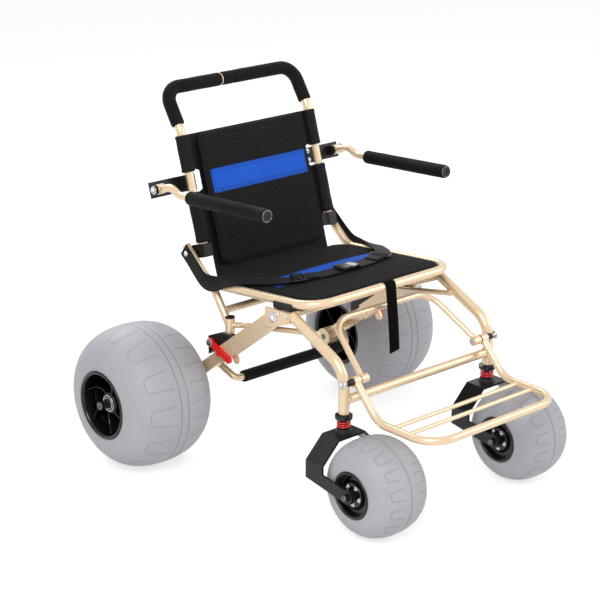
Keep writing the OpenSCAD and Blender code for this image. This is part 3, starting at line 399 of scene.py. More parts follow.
def speckled(name, low, high, rough, metal, grain, spec, relief, extra=None, shade_grooves=False):
    """Paint or moulding: slow colour drift, fine grain and an uneven gloss; painted shade in a tyre's seams and block
    outlines.
    """
    s = Shader(name, low, high, {"Roughness": rough[0], "Metallic": metal, "Specular IOR Level": spec,
                                 **(extra or {})})
    colour = s.ramp(s.noise(7.0, 4.0), [(0.3, low), (0.7, high)])
    if shade_grooves:
        # Painted shade: the tyre colour is darkened along its seams and block outlines by the painted_groove_shade
        # attribute
        sunk = s.node("Attribute", attribute_name="painted_groove_shade").outputs["Fac"]
        colour = s.darken(colour, (0.62, 0.62, 0.64, 1), sunk)
    s.feed(s.inputs["Roughness"], s.ramp(s.noise(26.0, 5.0), [(0.3, rough[0]), (0.7, rough[1])]))
    return s.surface(colour, s.noise(grain, 2.0), relief, 0.0004)


gold = speckled("gold_paint", (0.76, 0.575, 0.37), (0.83, 0.64, 0.43), (0.24, 0.3), 0.4, 900, 0.5, 0.004,
                {"Coat Weight": 0.25, "Coat Roughness": 0.18})
black_metal = speckled("black_coat", (0.007, 0.007, 0.0075), (0.013, 0.013, 0.014), (0.26, 0.38), 0, 1500, 0.3, 0.08)
black_plastic = speckled("black_moulding", (0.005, 0.005, 0.0055), (0.01, 0.01, 0.011), (0.32, 0.46), 0, 1900, 0.28,
                         0.1)
gloss_black = speckled("gloss_moulding", (0.004, 0.004, 0.0045), (0.008, 0.008, 0.0085), (0.14, 0.24), 0, 1200, 0.4,
                       0.03)
red_plastic = speckled("red_moulding", (0.72, 0.008, 0.008), (0.84, 0.013, 0.012), (0.26, 0.36), 0, 1700, 0.5, 0.07)
red_wire = speckled("red_wire", (0.56, 0.006, 0.008), (0.68, 0.011, 0.011), (0.16, 0.26), 0, 900, 0.5, 0.02,
                    {"Coat Weight": 0.5, "Coat Roughness": 0.08})
steel = speckled("plated_steel", (0.6, 0.61, 0.63), (0.72, 0.73, 0.75), (0.16, 0.3), 1, 2400, 0.5, 0.04)
dark_steel = speckled("dark_steel", (0.1, 0.1, 0.105), (0.16, 0.16, 0.17), (0.2, 0.32), 1, 2000, 0.5, 0.05)
brass = speckled("brass", (0.62, 0.47, 0.16), (0.72, 0.56, 0.22), (0.2, 0.32), 1, 1800, 0.5, 0.04)
grey_plastic = speckled("grey_tab", (0.55, 0.55, 0.56), (0.63, 0.63, 0.64), (0.3, 0.4), 0, 1500, 0.5, 0.08)
foam = speckled("black_foam", (0.0035, 0.0035, 0.004), (0.008, 0.008, 0.0085), (0.66, 0.82), 0, 1300, 0.1, 0.5,
                {"Sheen Weight": 0.02, "Sheen Roughness": 0.6})
thread_black = speckled("black_thread", (0.02, 0.02, 0.021), (0.035, 0.035, 0.037), (0.5, 0.6), 0, 2500, 0.4, 0.2)
thread_blue = speckled("blue_thread", (0.003, 0.015, 0.12), (0.006, 0.026, 0.18), (0.5, 0.6), 0, 2500, 0.4, 0.2)
rubber = speckled("tyre_grey", (0.38, 0.381, 0.412), (0.432, 0.433, 0.465), (0.46, 0.58), 0, 1100, 0.4, 0.12,
                  shade_grooves=True)


def lattice(name, hole, yarn, pitch, eyes=(0.2, 0.36, 0.52), rough=0.7, depth=0.0012, relief=0.9, spec=0.12):
    """Knitted spacer mesh: staggered holes with yarn between them, the holes coloured as painted shade inside them.
    eyes says where a hole ends and the yarn begins.
    """
    s = Shader(name, yarn, yarn, {"Roughness": rough, "Specular IOR Level": spec, "Sheen Weight": 0.015,
                                  "Sheen Roughness": 0.5})
    staggered = s.node("Mapping", Rotation=(0, 0, math.radians(45)), Scale=(math.sqrt(2), math.sqrt(2), 1),
                       Vector=s.place((1 / pitch[0], 1 / pitch[1], 1.0), weave=True))
    eye = s.node("TexVoronoi", voronoi_dimensions="2D", feature="F1", Scale=1.0, Randomness=0.12,
                 Vector=staggered.outputs["Vector"]).outputs["Distance"]
    # Painted shade: the holes show the inner layer, coloured much darker than the yarn as the shade inside the
    # openings
    half_way = [h * 0.6 + y * 0.4 for h, y in zip(hole, yarn)]
    knit = s.ramp(eye, list(zip(eyes, (hole, half_way, yarn))))
    drift = s.ramp(s.noise(9.0, 3.0), [(0.3, 0.7), (0.7, 1.0)])
    return s.surface(s.darken(knit, drift, 0.35), s.ramp(eye, [(0.1, 0), (0.45, 1.0)]), relief, depth)


def woven(name, low, high, pitch, rough=0.6, weave=False, relief=0.45, turn=0, sheen=0.03, spec=0.15):
    """Plain weave from two crossing sets of yarns."""
    s = Shader(name, low, high, {"Roughness": rough, "Specular IOR Level": spec, "Sheen Weight": sheen,
                                 "Sheen Roughness": 0.4})
    p = s.place(turn=turn, weave=weave)
    yarns = [s.node("TexWave", wave_type="BANDS", bands_direction=axis, Scale=0.314 / pitch, Distortion=0.0,
                    Vector=p).outputs["Fac"] for axis in (("X", "Y") if weave else ("X", "Z"))]
    cloth = s.math("MULTIPLY", *yarns)
    worn = s.math("ADD", s.math("MULTIPLY", cloth, 0.7), s.math("MULTIPLY", s.noise(14.0, 4.0), 0.3))
    return s.surface(s.ramp(worn, [(0.1, low), (0.75, high)]), cloth, relief, pitch * 0.35)


# The first colour of each mesh is the painted shade in its holes, the second its yarn
mesh_black = lattice("black_mesh", (0.0004, 0.0004, 0.0005), (0.036, 0.036, 0.0375), (0.007, 0.0056),
                     (0.28, 0.4, 0.54), spec=0.03)
mesh_blue = lattice("blue_mesh", (0.006, 0.055, 0.4), (0.022, 0.16, 0.82), (0.0046, 0.0046), rough=0.6,
                    depth=0.0008, relief=0.7)
nylon = woven("black_nylon", (0.003, 0.003, 0.0035), (0.011, 0.011, 0.012), 0.0016)
nylon_edge = woven("black_binding", (0.004, 0.004, 0.0045), (0.014, 0.014, 0.015), 0.0013)
webbing = woven("black_webbing", (0.004, 0.004, 0.0045), (0.017, 0.017, 0.018), 0.0022, 0.5, True, 0.6, 28, 0.03, 0.1)
strap_black = woven("strap_webbing", (0.001, 0.001, 0.0012), (0.0055, 0.0055, 0.006), 0.0022, 0.6, True, 0.5, 28, 0.0,
                    0.03)

SLOTS = {"frame_gold": gold, "grey_tyre": rubber, "black_plastic": black_plastic, "black_foam": foam,
         "black_fabric": nylon, "blue_fabric": mesh_blue, "red_plastic": red_plastic, "red_spring": red_wire,
         "black_metal": black_metal, "steel": steel}
for part in frame["record"]["subparts"]:
    materials = N[part["node"]].data.materials
    materials.clear()
    materials.append(SLOTS[part["material_slot"]])
for name in ("caster_hub_right", "caster_hub_left", "spring_rings"):
    N[name].data.materials[0] = gloss_black
for name in ("axle_right", "axle_left"):
    N[name].data.materials[0] = dark_steel
for name in ("latch_blocks", "arm_brackets", "hinge_blocks", "saddles", "fork_right", "fork_left", "knuckles",
             "strut_plugs", "latch_lever_right", "latch_lever_left", "footrest_spacers", "beam_right", "beam_left"):
    soften(N[name], 0.0012)
for name in ("caster_hub_right", "caster_hub_left", "frame_bolts", "axle_right", "axle_left", "spring_rings",
             "caster_stem_right", "caster_stem_left"):
    soften(N[name], 0.0008)


# Camera, floor and light

PHOTO_WIDTH = 600
FOCAL = 1876.35  # in pixels of the photo
SENSOR = 36.0
AZIMUTH, ELEVATION = math.radians(-41.6), math.radians(19.1)
cam = add("camera", bpy.data.cameras.new("camera"))
toward_eye = Vector((math.sin(AZIMUTH) * math.cos(ELEVATION), -math.cos(AZIMUTH) * math.cos(ELEVATION),
                     math.sin(ELEVATION)))
cam.location = (-2.995, -3.19275, 1.9387)
cam.rotation_euler = toward_eye.to_track_quat("Z", "Y").to_euler()
cam.data.sensor_width = SENSOR
cam.data.lens = SENSOR * FOCAL / PHOTO_WIDTH
cam.data.clip_end = 60.0
bpy.context.scene.camera = cam
bpy.context.scene.view_settings.view_transform = "Standard"


def floor_material():
    """Pale matt floor with a glow that only the eye sees, so that it turns white and keeps its shadow."""
    mat = bpy.data.materials.new("floor")
    s = Nodes(mat)
    s.tree.nodes.remove(s.tree.nodes["Principled BSDF"])
    plain, seen, glow, both, pick = [s.node(kind, **values) for kind, values in (
        ("BsdfDiffuse", {"Color": (0.9, 0.9, 0.9, 1)}), ("BsdfDiffuse", {"Color": (0.5, 0.5, 0.5, 1)}),
        ("Emission", {"Strength": 0.68}), ("AddShader", {}), ("MixShader", {}))]
    for node, sources in ((both, (seen.outputs[0], glow.outputs[0])),
                          (pick, (s.seen_by_eye(), plain.outputs[0], both.outputs[0])),
                          (s.tree.nodes["Material Output"], (pick.outputs[0],))):
        for socket, source in zip(node.inputs, sources):
            s.feed(socket, source)
    return mat


FLOOR_HALF, FLOOR_Z = 9, -0.0005
WORLD_LIGHT, WORLD_SEEN = 0.55, 1.0


def studio():
    """Floor, a world that is white to the eye, and three soft lamps."""
    corners = [(x * FLOOR_HALF, y * FLOOR_HALF, FLOOR_Z) for x, y in ((-1, -1), (1, -1), (1, 1), (-1, 1))]
    floor = mesh("floor", corners, [(0, 1, 2, 3)], floor_material())
    world = bpy.context.scene.world = bpy.data.worlds.new("studio")
    s = Nodes(world)
    level = s.node("MapRange", **{"To Min": WORLD_LIGHT, "To Max": WORLD_SEEN, "Value": s.seen_by_eye()})
    background = s.tree.nodes["Background"].inputs
    s.feed(background["Color"], (1, 1, 1, 1))
    s.feed(background["Strength"], level.outputs["Result"])
    for name, place, aim, size, power in (
            ("key", (-2.6, -2.2, 3.2), (0, 0, 0.4), 2.2, 95),
            ("fill", (3.0, -2.4, 2.2), (0, 0, 0.4), 2.6, 45),
            ("rim", (0.6, 3.0, 2.8), (0, 0, 0.5), 2.4, 60)):
        lamp = bpy.data.lights.new(name, "AREA")
        lamp.shape, lamp.size, lamp.energy = "DISK", size, power
        ob = add(name, lamp)
        ob.location = place
        ob.rotation_euler = (Vector(place) - Vector(aim)).to_track_quat("Z", "Y").to_euler()


studio()


# Tyres

BULGE = 2 / 2.4  # power that swells the section
GROOVE_HALF, GROOVE_DEEP = 0.0014, 0.0018


def grooved_tyre(name, centre, radius, width, rim, segs, step, blocks, seam, block, body, node):
    """Balloon tyre with a pair of seams round the crown and sunk block outlines on both shoulders, with painted shade
    in the seams and outlines.

    block gives the outline's start and end along the section, half its width and its corner radius.
    """
    cuts = 1200
    section = []
    for k in range(cuts + 1):
        t = math.pi * (0.012 + 0.976 * k / cuts)
        section.append(Vector((math.copysign(abs(math.cos(t)) ** BULGE, math.cos(t)) * width / 2,
                               rim + (radius - rim) * math.sin(t) ** BULGE, 0)))
    run = runs(section)
    mid = run[-1] / 2
    start, end, half, corner = block
    tread = end + 0.01
    rows, wall_rows = round(2 * tread / step), 12
    stops = [mid - (mid - tread) * k / wall_rows for k in range(wall_rows)]
    stops += [tread - 2 * tread * k / rows for k in range(rows + 1)]
    stops += [-v for v in stops[wall_rows - 1::-1]]
    pitch = 2 * math.pi / blocks
    verts, groove_shade = [], []
    for s in stops:
        i, f = locate(run, mid - s)
        p, along = section[i].lerp(section[i + 1], f), (section[i + 1] - section[i]).normalized()
        ring = math.exp(-((abs(s) - seam) / GROOVE_HALF) ** 2)
        fade = min(1.0, max(0, (abs(s) - start) / 0.006))
        for j in range(segs):
            phi = 2 * math.pi * j / segs
            line = 0.0
            if start < abs(s) < end + 0.008:
                turn = phi + (pitch / 2 if s > 0 else 0)
                c = ((turn + pitch / 2) % pitch - pitch / 2) * radius
                qs = abs(s) - end + corner
                qc = abs(c) - half * (1.0 - 0.2 * (abs(s) - start) / (end - start)) + corner
                d = math.hypot(max(qs, 0), max(qc, 0)) + min(max(qs, qc), 0) - corner
                line = fade * math.exp(-(d / GROOVE_HALF) ** 2)
            sunk = GROOVE_DEEP * max(ring, 0.8 * line)
            x, r = p.x - along.y * sunk, p.y + along.x * sunk
            verts.append((centre[0] + x, centre[1] + r * math.cos(phi), centre[2] + r * math.sin(phi)))
            # Painted shade: how much each point of the seams and block outlines is darkened
            groove_shade.append(max(ring, 0.62 * line))
    bead_rows = ((-0.43, 0.003), (-0.41, 0.0004), (0.41, 0.0004), (0.43, 0.003))
    for share, lift in bead_rows:
        verts += around(Vector(centre) + X * width * share, Y, Z, rim + lift, segs)
        groove_shade += [0.0] * segs
    ob = mesh(name, verts, skin(len(stops) + len(bead_rows), segs, True), rubber)
    ob.data.attributes.new("painted_groove_shade", "FLOAT", "POINT").data.foreach_set("value", groove_shade)
    return ride(ob, body, node)


for side, sg in SIDES:
    grooved_tyre("balloon_tyre_rear_" + side, (sg * REAR_X, AXLE_Y, AXLE_Z), 0.18, 0.25, 0.082, 600, 0.0018, 12, 0.011,
                 (0.022, 0.094, 0.026, 0.011), "rear_wheel_" + side, "rear_tyre_" + side)
    grooved_tyre("balloon_tyre_front_" + side, (sg * CASTER_X, CASTER_Y, CASTER_Z), 0.118, 0.164, 0.054, 440, 0.0016,
                 15, 0.0, (0.018, 0.055, 0.0145, 0.006), "caster_wheel_" + side, "caster_tyre_" + side)


# Foam grips

# Distance from the end, and how far the skin is drawn in there
FOAM_END = ((0, 0.0026), (0.0011, 0.0009), (0.0028, 0.0002))


def foam_tube(name, pts, radius, bore, seed=0.0):
    """Foam sleeve with soft ends and a slightly uneven skin."""
    line = resample(pts, 0.006)
    run, tail = (line[1] - line[0]).normalized(), (line[-1] - line[-2]).normalized()
    line = [line[0] + run * d for d, _ in FOAM_END] + line[1:-1] + [line[-1] - tail * d for d, _ in FOAM_END[::-1]]

    def outer(i, n, a):
        end = min(i, n - 1 - i)
        drop = FOAM_END[end][1] if end < len(FOAM_END) else 0.0
        p = line[i]
        wave = noise.noise(Vector((p.x * 38 + seed, p.y * 38, p.z * 38 + 2.0 * math.cos(a)))) * 0.00035
        return radius - drop + wave
    return sleeve(name, line, outer, bore, foam)


def cut_by_x(pts, lo, hi):
    """The part of a line that lies between two values of x."""
    out = [p for p in pts[:1] if lo < p.x < hi]
    for a, b in zip(pts, pts[1:]):
        out += [a.lerp(b, (lim - a.x) / (b.x - a.x)) for lim in (lo, hi) if (a.x - lim) * (b.x - lim) < 0]
        if lo < b.x < hi:
            out.append(b)
    return out


# Push handle foam in three lengths, with a gold gap and a closed seam
HANDLE_LEAN = math.radians(16)
rise = Vector((0, math.sin(HANDLE_LEAN), math.cos(HANDLE_LEAN)))
root, corner = [Vector((BACK_X, BACK_Y, 0.303)) + rise * far for far in (0.0139, 0.112)]
mirror = Matrix.Diagonal((-1, 1, 1))
handle = [back_point(*p) for p in fillet([mirror @ root, mirror @ corner, corner, root], 0.042)]
for k, (lo, hi) in enumerate(((-math.inf, -0.0351), (-0.0321, 0.0081), (0.0087, math.inf))):
    g = foam_tube("handle_foam_%d" % k, cut_by_x(handle, lo, hi), 0.017, 0.0112, k * 7.0)
    ride(g, "backrest")
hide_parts("handle_grips")
collar = turned(mirrored([(-0.0013, 0.0112), (-0.0013, 0.0162), (-0.0009, 0.0166)]), gold,
                toward(back_point(-0.0336, corner.y, corner.z), X))
ride(join("handle_collar", [collar]), "backrest")

g = foam_tube("rear_bar_foam", [Vector((x, fore(0.128), 0.204)) for x in (-0.17, 0.17)], 0.015, 0.0092, 3.0)
ride(g, "rear_legs", "rear_bar_grip")

ARM_RING = [(0.001, 0.0115), (0.0028, 0.0118), (0.0036, 0.013), (0.0036, 0.0142), (0.0026, 0.0152), (0.001, 0.0152)]
ARM_PLUG = [(0, 0), (0, 0.0125), (0.003, 0.0122), (0.0036, 0.0105), (0.003, 0.009), (0.0026, 0.006), (0.0026, 0)]
for side, sg in SIDES:
    bend = Vector((sg * ARM_X, ARM_Y - 0.08, ARM_Z))
    tip = Vector((sg * ARM_X, ARM_Y - 0.405, ARM_Z + 0.02))
    run = (tip - bend).normalized()
    g = foam_tube("arm_foam_" + side, [bend + run * 0.04, tip + run * 0.0015], 0.017, 0.0097, 11.0 * sg)
    ride(g, "armrest_" + side, "arm_pad_" + side)
    to = toward(tip, run)
    ring = turned(ARM_RING, dark_steel, to)
    plug = turned(ARM_PLUG, black_plastic, to)
    ride(join("arm_end_" + side, [ring, plug]), "armrest_" + side)


# Caster springs

SPRING_LOW, SPRING_HIGH, SPRING_TURNS = 0.2311, 0.2501, 3.5
SPRING_RADIUS, WIRE_RADIUS, STEPS_A_TURN = 0.015, 0.002, 28
for side, sg in SIDES:
    stem = Vector((sg * CASTER_X, STEM_Y, 0))
    steps = int(SPRING_TURNS * STEPS_A_TURN)
    pts = []
    for k in range(steps + 1):
        a = 2 * math.pi * SPRING_TURNS * k / steps
        z = SPRING_LOW + (SPRING_HIGH - SPRING_LOW) * k / steps
        pts.append(stem + Vector((SPRING_RADIUS * math.cos(a), SPRING_RADIUS * math.sin(a), z)))
    s = tube("spring_" + side, pts, WIRE_RADIUS, red_wire)
    ride(s, "caster_slide_" + side, "caster_spring_" + side)
    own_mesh(s)


# Padded seat and back: crowned closed forms, puffed by a cloth run, with a bound edge and a sewn-on band

def rounded(u, v, a, b, rc):
    """Point of a rectangle of half sizes a, b for u, v from -1 to 1, with its corner squares drawn to arcs."""
    x, y = u * a, v * b
    cx, cy = (abs(x) - a + rc) / rc, (abs(y) - b + rc) / rc
    if cx > 0 and cy > 0:
        x = math.copysign(a - rc + rc * cx * math.sqrt(1 - cy * cy / 2), x)
        y = math.copysign(b - rc + rc * cy * math.sqrt(1 - cx * cx / 2), y)
    return x, y


def inset(x, y, a, b, rc):
    """How far a point lies inside the edge of the same rectangle."""
    ox, oy = abs(x) - a + rc, abs(y) - b + rc
    return max(0, rc - math.hypot(ox, oy) if ox > 0 and oy > 0 else min(a - abs(x), b - abs(y)))


def grid_lines(half, step, marks):
    """Even cuts from -1 to 1 that pass through the marks, closer near the edge."""
    near_edge = [s * (1 - d / half) for s in (-1, 1) for d in (0.0016, 0.004, 0.008, 0.014)]
    stops = sorted({-1.0, 1.0, *marks, *near_edge})
    out = [stops[0]]
    for a, b in zip(stops, stops[1:]):
        n = max(1, int(round((b - a) * half / step)))
        out += [a + (b - a) * k / n for k in range(1, n + 1)]
    return out


def pad(name, w, l, edge, crown, rc, band, place, body, nodes):
    """Cushion of width w and length l, edge thick at its rim. band is (half width, low, high) in its own plane."""
    a, b = w / 2, l / 2
    wide, low_end, high_end = band
    us = grid_lines(a, 0.0062, [-wide / a, wide / a])
    vs = grid_lines(b, 0.0062, [low_end / b, high_end / b])
    nu, nv = len(us), len(vs)
    verts, pins, top, low = [], [], {}, {}
    for j, v in enumerate(vs):
        for i, u in enumerate(us):
            x, y = rounded(u, v, a, b, rc)
            d = inset(x, y, a, b, rc)
            h = edge / 2 * math.sqrt(max(0, 1 - (1 - min(2 * d / edge, 1.0)) ** 2))
            dome = crown * (1 - abs(u) ** 2.6) * (1 - abs(v) ** 2.6)
            seam = 0.0016 * math.exp(-((d - 0.016) / 0.0028) ** 2)
            from_band = min(abs(abs(x) - wide) if low_end < y < high_end else 1.0,
                            min(abs(y - low_end), abs(y - high_end)) if abs(x) < wide else 1.0)
            sewn = 0.0012 * math.exp(-(from_band / 0.004) ** 2)
            top[i, j] = low[i, j] = len(verts)
            verts.append((x, y, edge / 2 + h + dome - seam - sewn))
            pins.append(1.0 if d < 0.018 else (0.75 if from_band < 0.004 else 0.0))
            if 0 < i < nu - 1 and 0 < j < nv - 1:
                low[i, j] = len(verts)
                verts.append((x, y, edge / 2 - h))
                pins.append(1.0)
    faces, mats = [], []
    for j in range(nv - 1):
        for i in range(nu - 1):
            faces.append((top[i, j], top[i + 1, j], top[i + 1, j + 1], top[i, j + 1]))
            faces.append((low[i, j], low[i, j + 1], low[i + 1, j + 1], low[i + 1, j]))
            x, y = (us[i] + us[i + 1]) / 2 * a, (vs[j] + vs[j + 1]) / 2 * b
            mats += [1 if abs(x) < wide and low_end < y < high_end else 0, 2]
    ob = mesh(name, [place @ Vector(p) for p in verts], faces, mesh_black)
    ob.data.materials.append(mesh_blue)
    ob.data.materials.append(nylon)
    ob.data.polygons.foreach_set("material_index", mats)
    weave_coords(ob, verts)
    puff(ob, pins, 0.007)
    ride(ob, body, *nodes)
    ring, count = [], 200
    for k in range(count):
        c, s = math.cos(2 * math.pi * k / count), math.sin(2 * math.pi * k / count)
        m = max(abs(c) / a, abs(s) / b)
        ring.append(place @ Vector((*rounded(c / m / a, s / m / b, a, b, rc), edge / 2)))
    ring = resample(ring + ring[:1], 0.006)[:-1]
    ride(tube(name + "_piping", ring, 0.0026, nylon_edge, 8, about=place.to_3x3() @ Z), body)
    return ob


CLOTH = {"quality": 5, "mass": 0.3, "tension_stiffness": 30, "compression_stiffness": 30, "shear_stiffness": 12,
         "bending_stiffness": 3, "use_pressure": True, "uniform_pressure_force": 4.0, "vertex_group_mass": "held"}


def puff(ob, pins, cap):
    """Cloth run with inner pressure; seams and the underside are held. The result is kept in the mesh."""
    start = [v.co.copy() for v in ob.data.vertices]
    g = ob.vertex_groups.new(name="held")
    for i, w in enumerate(pins):
        if w > 0:
            g.add([i], w, "REPLACE")
    c = ob.modifiers.new("puff", "CLOTH")
    for key, value in CLOTH.items():
        setattr(c.settings, key, value)
    c.settings.effector_weights.gravity = 0.0
    c.collision_settings.use_collision = False
    scene = bpy.context.scene
    for f in range(1, 21):
        scene.frame_set(f)
    dep = bpy.context.evaluated_depsgraph_get()
    done = ob.evaluated_get(dep).to_mesh()
    moved = [v.co.copy() for v in done.vertices]
    ob.evaluated_get(dep).to_mesh_clear()
    ob.modifiers.remove(c)
    scene.frame_set(1)
    for v, a, b in zip(ob.data.vertices, start, moved):
        d = b - a
        if d.length > cap:
            d *= cap / d.length
        v.co = a + d
    ob.data.update()


seat_place = Matrix.Translation(seat_point(0, 0.25945, 0)) @ Matrix.Rotation(-SEAT_SLOPE, 4, "X") @ \
    Matrix.Translation((0, 0, -0.006))
seat = pad("seat_cushion", 0.4425, 0.382, 0.017, 0.008, 0.048, (0.19, -0.0336, 0.0284), seat_place, "chassis",
           ("seat_pad", "seat_stripe"))
back_place = BACK @ Matrix.Translation((0, -0.028, 0.119)) @ Matrix.Rotation(math.radians(90), 4, "X")
back = pad("back_cushion", 0.336, 0.33, 0.015, 0.006, 0.022, (0.156, 0.014, 0.074), back_place, "backrest",
           ("back_pad", "back_stripe"))


# Back cover: sleeves with hems on the uprights, and a panel between them

HEM = (-0.0012, 0.0006, 0.0007, -0.0004)  # how far the sleeve stands out at its first rings


def cover_sleeve(name, x, z0, z1):
    """Cloth sleeve on an upright, a little flattened and creased."""
    pts = [back_point(x, BACK_Y, z0 + (z1 - z0) * k / 26) for k in range(27)]

    def outer(i, n, a):
        end = min(i, n - 1 - i)
        flat = 0.0152 + 0.0022 * math.cos(a) ** 2
        p = pts[i]
        fold = noise.noise(Vector((p.x * 30 + math.cos(a) * 1.3, p.z * 26, math.sin(a) * 1.3 + x * 9))) * 0.0009
        return flat + fold + (HEM[end] if end < len(HEM) else 0.0)
    return sleeve(name, pts, outer, 0.0113, nylon, 40)


def cover_panel(name, z0, z1):
    """Sheet between the uprights, drawn in at the arm brackets and below the sleeves."""
    cols, rows, thick = 44, 40, 0.0016
    verts, faces = [], []
    for s in (1, -1):
        for j in range(rows + 1):
            for i in range(cols + 1):
                u, v = i / cols, j / rows
                x, z = -0.197 + 0.394 * u, z0 + (z1 - z0) * v
                limit = 0.176 if 0.142 < z < 0.202 else 0.197 if z > 0.02 else 0.187
                x = math.copysign(min(abs(x), limit), x)
                sag = 0.0035 * (1 - (2 * u - 1) ** 2) * (1 - 0.5 * (2 * v - 1) ** 2)
                fold = noise.noise(Vector((x * 11, z * 17, 4.0))) * 0.0011
                verts.append(back_point(x, -0.0245 + sag + fold + s * thick / 2, z))
    row, side = cols + 1, (cols + 1) * (rows + 1)
    for first in (0, side):
        for j in range(rows):
            for i in range(cols):
                k = first + j * row + i
                faces.append((k, k + 1, k + row + 1, k + row))
    rim = [j * row for j in range(rows)] + [rows * row + i for i in range(cols)] + \
          [j * row + cols for j in range(rows, 0, -1)] + list(range(cols, 0, -1))
    for a, b in zip(rim, rim[1:] + rim[:1]):
        faces.append((a, b, b + side, a + side))
    return mesh(name, verts, faces, nylon)


for side, sg in SIDES:
    for tag, z0, z1 in (("low", 0.02, 0.146), ("high", 0.198, 0.29)):
        ride(cover_sleeve("back_sleeve_%s_%s" % (tag, side), sg * BACK_X, z0, z1), "backrest")
panel = ride(cover_panel("back_panel", -0.082, 0.29), "backrest", "back_cover")


# Lap belt: two webbing halves from the hinge bolts, round the rail and over the seat to a buckle, with ladder locks

# Middle line of the left half: x, reach, lift over the rail's plane, then x and z of the strap's normal
BELT_ON_SEAT = ((0.029, 0.33, 0.0265, 0, 1), (0.075, 0.325, 0.0258, 0, 1), (0.118, 0.313, 0.0246, 0, 1),
                (0.15, 0.3, 0.024, 0, 1), (0.185, 0.268, 0.0228, 0.1, 1), (0.213, 0.216, 0.0215, 0.15, 1))
# The same for its root, with the height in place of the lift
BELT_ROOT = ((0.226, 0.188, 0.4865, 0.25, 0.97), (0.24, 0.16, 0.48, 0.5, 0.87), (0.249, 0.135, 0.47, 0.8, 0.6),
             (0.252, 0.105, 0.464, 0.95, 0.3), (0.251, 0.075, 0.466, 1, 0.05), (0.2485, 0.045, 0.488, 1, 0),
             (0.2479, 0.022, 0.508, 1, 0), (0.2479, -0.003, 0.5275, 1, 0))
LOCK_AT = 3 / 13  # place of the ladder lock along the half


def spread(pts, nrm, rounds=2):
    """Line and normals with the corners cut, so that they run smoothly."""
    for _ in range(rounds):
        p2, n2 = [pts[0]], [nrm[0]]
        for k in range(len(pts) - 1):
            for f in (0.25, 0.75):
                p2.append(pts[k].lerp(pts[k + 1], f))
                n2.append(nrm[k].lerp(nrm[k + 1], f))
        pts, nrm = p2 + [pts[-1]], n2 + [nrm[-1]]
    return pts, nrm


def belt_line(sg):
    """Middle line of one half, with the strap's normals."""
    pts = [seat_point(sg * x, reach, lift) for x, reach, lift, *_ in BELT_ON_SEAT]
    pts += [Vector((sg * x, fore(reach), z)) for x, reach, z, *_ in BELT_ROOT]
    return spread(pts, [Vector((sg * nx, 0, nz)).normalized() for *_, nx, nz in BELT_ON_SEAT + BELT_ROOT])


def loop(hl, hw, r, n=6):
    """Rounded rectangle in a plane, as points."""
    out = []
    for cx, cy, a0 in ((hl - r, hw - r, 0), (-hl + r, hw - r, 90), (-hl + r, -hw + r, 180), (hl - r, -hw + r, 270)):
        for k in range(n + 1):
            a = math.radians(a0 + 90 * k / n)
            out.append((cx + r * math.cos(a), cy + r * math.sin(a)))
    return out


def block(hx, hy, z0, z1, r, mat, to, waist=0.0):
    """Moulded block with round corners and softened edges; waist draws its long sides in."""
    rows = [(z0, -0.0008), (z0 + 0.0007, 0), (z1 - 0.0009, 0), (z1 - 0.0003, -0.0004), (z1, -0.0012)]
    base = loop(hx, hy, r)
    verts = []
    for z, grow in rows:
        k = 1 + grow / max(hx, hy)
        for x, y in base:
            drawn = y * (1 - waist * max(0, 1 - (x / hx) ** 2))
            verts.append(to @ Vector((x * k, drawn * k, z)))
    return mesh("block", verts, skin(len(rows), len(base)) + lids(len(rows), len(base)), mat)


def ladder_lock(name, to, mat):
    """Three-bar slide with a strap passing over its middle bar."""
    outline = [to @ Vector((x, y, 0)) for x, y in loop(0.0135, 0.0255, 0.004, 4)]
    parts = [tube("outline", outline, 0.0023, mat, 10, about=to.to_3x3() @ Z)]
    for x in (-0.0042, 0.0042):
        bar = [to @ Vector((x, y, 0.0006)) for y in (-0.0245, -0.01, 0.01, 0.0245)]
        parts.append(tube("bar", bar, 0.002, mat, 10))
    return join(name, parts)


for side, sg in SIDES:
    ride(ribbon("lap_belt_" + side, *belt_line(sg), 0.04, 0.0022, webbing), "chassis", "belt_" + side)


def strap():
    """Storage strap: over the front run of the rail, then down with a sway to one side."""
    x, y, z, r = 0.008, fore(RAIL_FRONT_REACH), RAIL_FRONT_Z, 0.0123
    pts, nrm = [], []
    for k in range(13):
        a = math.radians(70 + 110 * k / 12)
        d = Vector((0, math.cos(a), math.sin(a)))
        pts.append(Vector((x, y, z)) + d * r)
        nrm.append(d)
    for k in range(1, 15):
        f = k / 14
        pts.append(Vector((x + 0.014 * f * f, y - r - 0.006 * math.sin(math.pi * f * 0.9), z - 0.004 - 0.164 * f)))
        nrm.append(Vector((0, -1, 0.05)))
    return ribbon("tie_strap", *spread(pts, nrm, 1), 0.034, 0.0022, strap_black)


ride(strap(), "chassis", "storage_strap")

# Webbing over the lock's bars: along the belt and up from it
HUMP = ((0.012, 0.002), (0.0085, 0.0034), (0.0045, 0.0056), (0, 0.006), (-0.0045, 0.0056), (-0.0085, 0.0034),
        (-0.012, 0.002))
for side, sg in SIDES:
    pts, nrm = belt_line(sg)
    at = int(LOCK_AT * (len(pts) - 1))
    p, run = pts[at], (pts[at + 1] - pts[at]).normalized()
    up = square(nrm[at], run)
    to = Matrix((run, run.cross(up), up)).transposed().to_4x4()
    to.translation = p + up * 0.0034
    lock = ladder_lock("ladder_lock_" + side, to, gloss_black)
    ride(lock, "chassis")
    over = [p + run * a + up * b for a, b in HUMP]
    over += [pts[i] + nrm[i] * (0.0027 + 0.0012 * math.sin(i * 0.9)) for i in range(at - 2, at - 6, -1)]
    tail = ribbon("lap_belt_tail_" + side, *spread(over, [up] * len(over), 1), 0.038, 0.002, webbing)
    ride(tail, "chassis")
    if sg > 0:
        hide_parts("belt_adjusters")


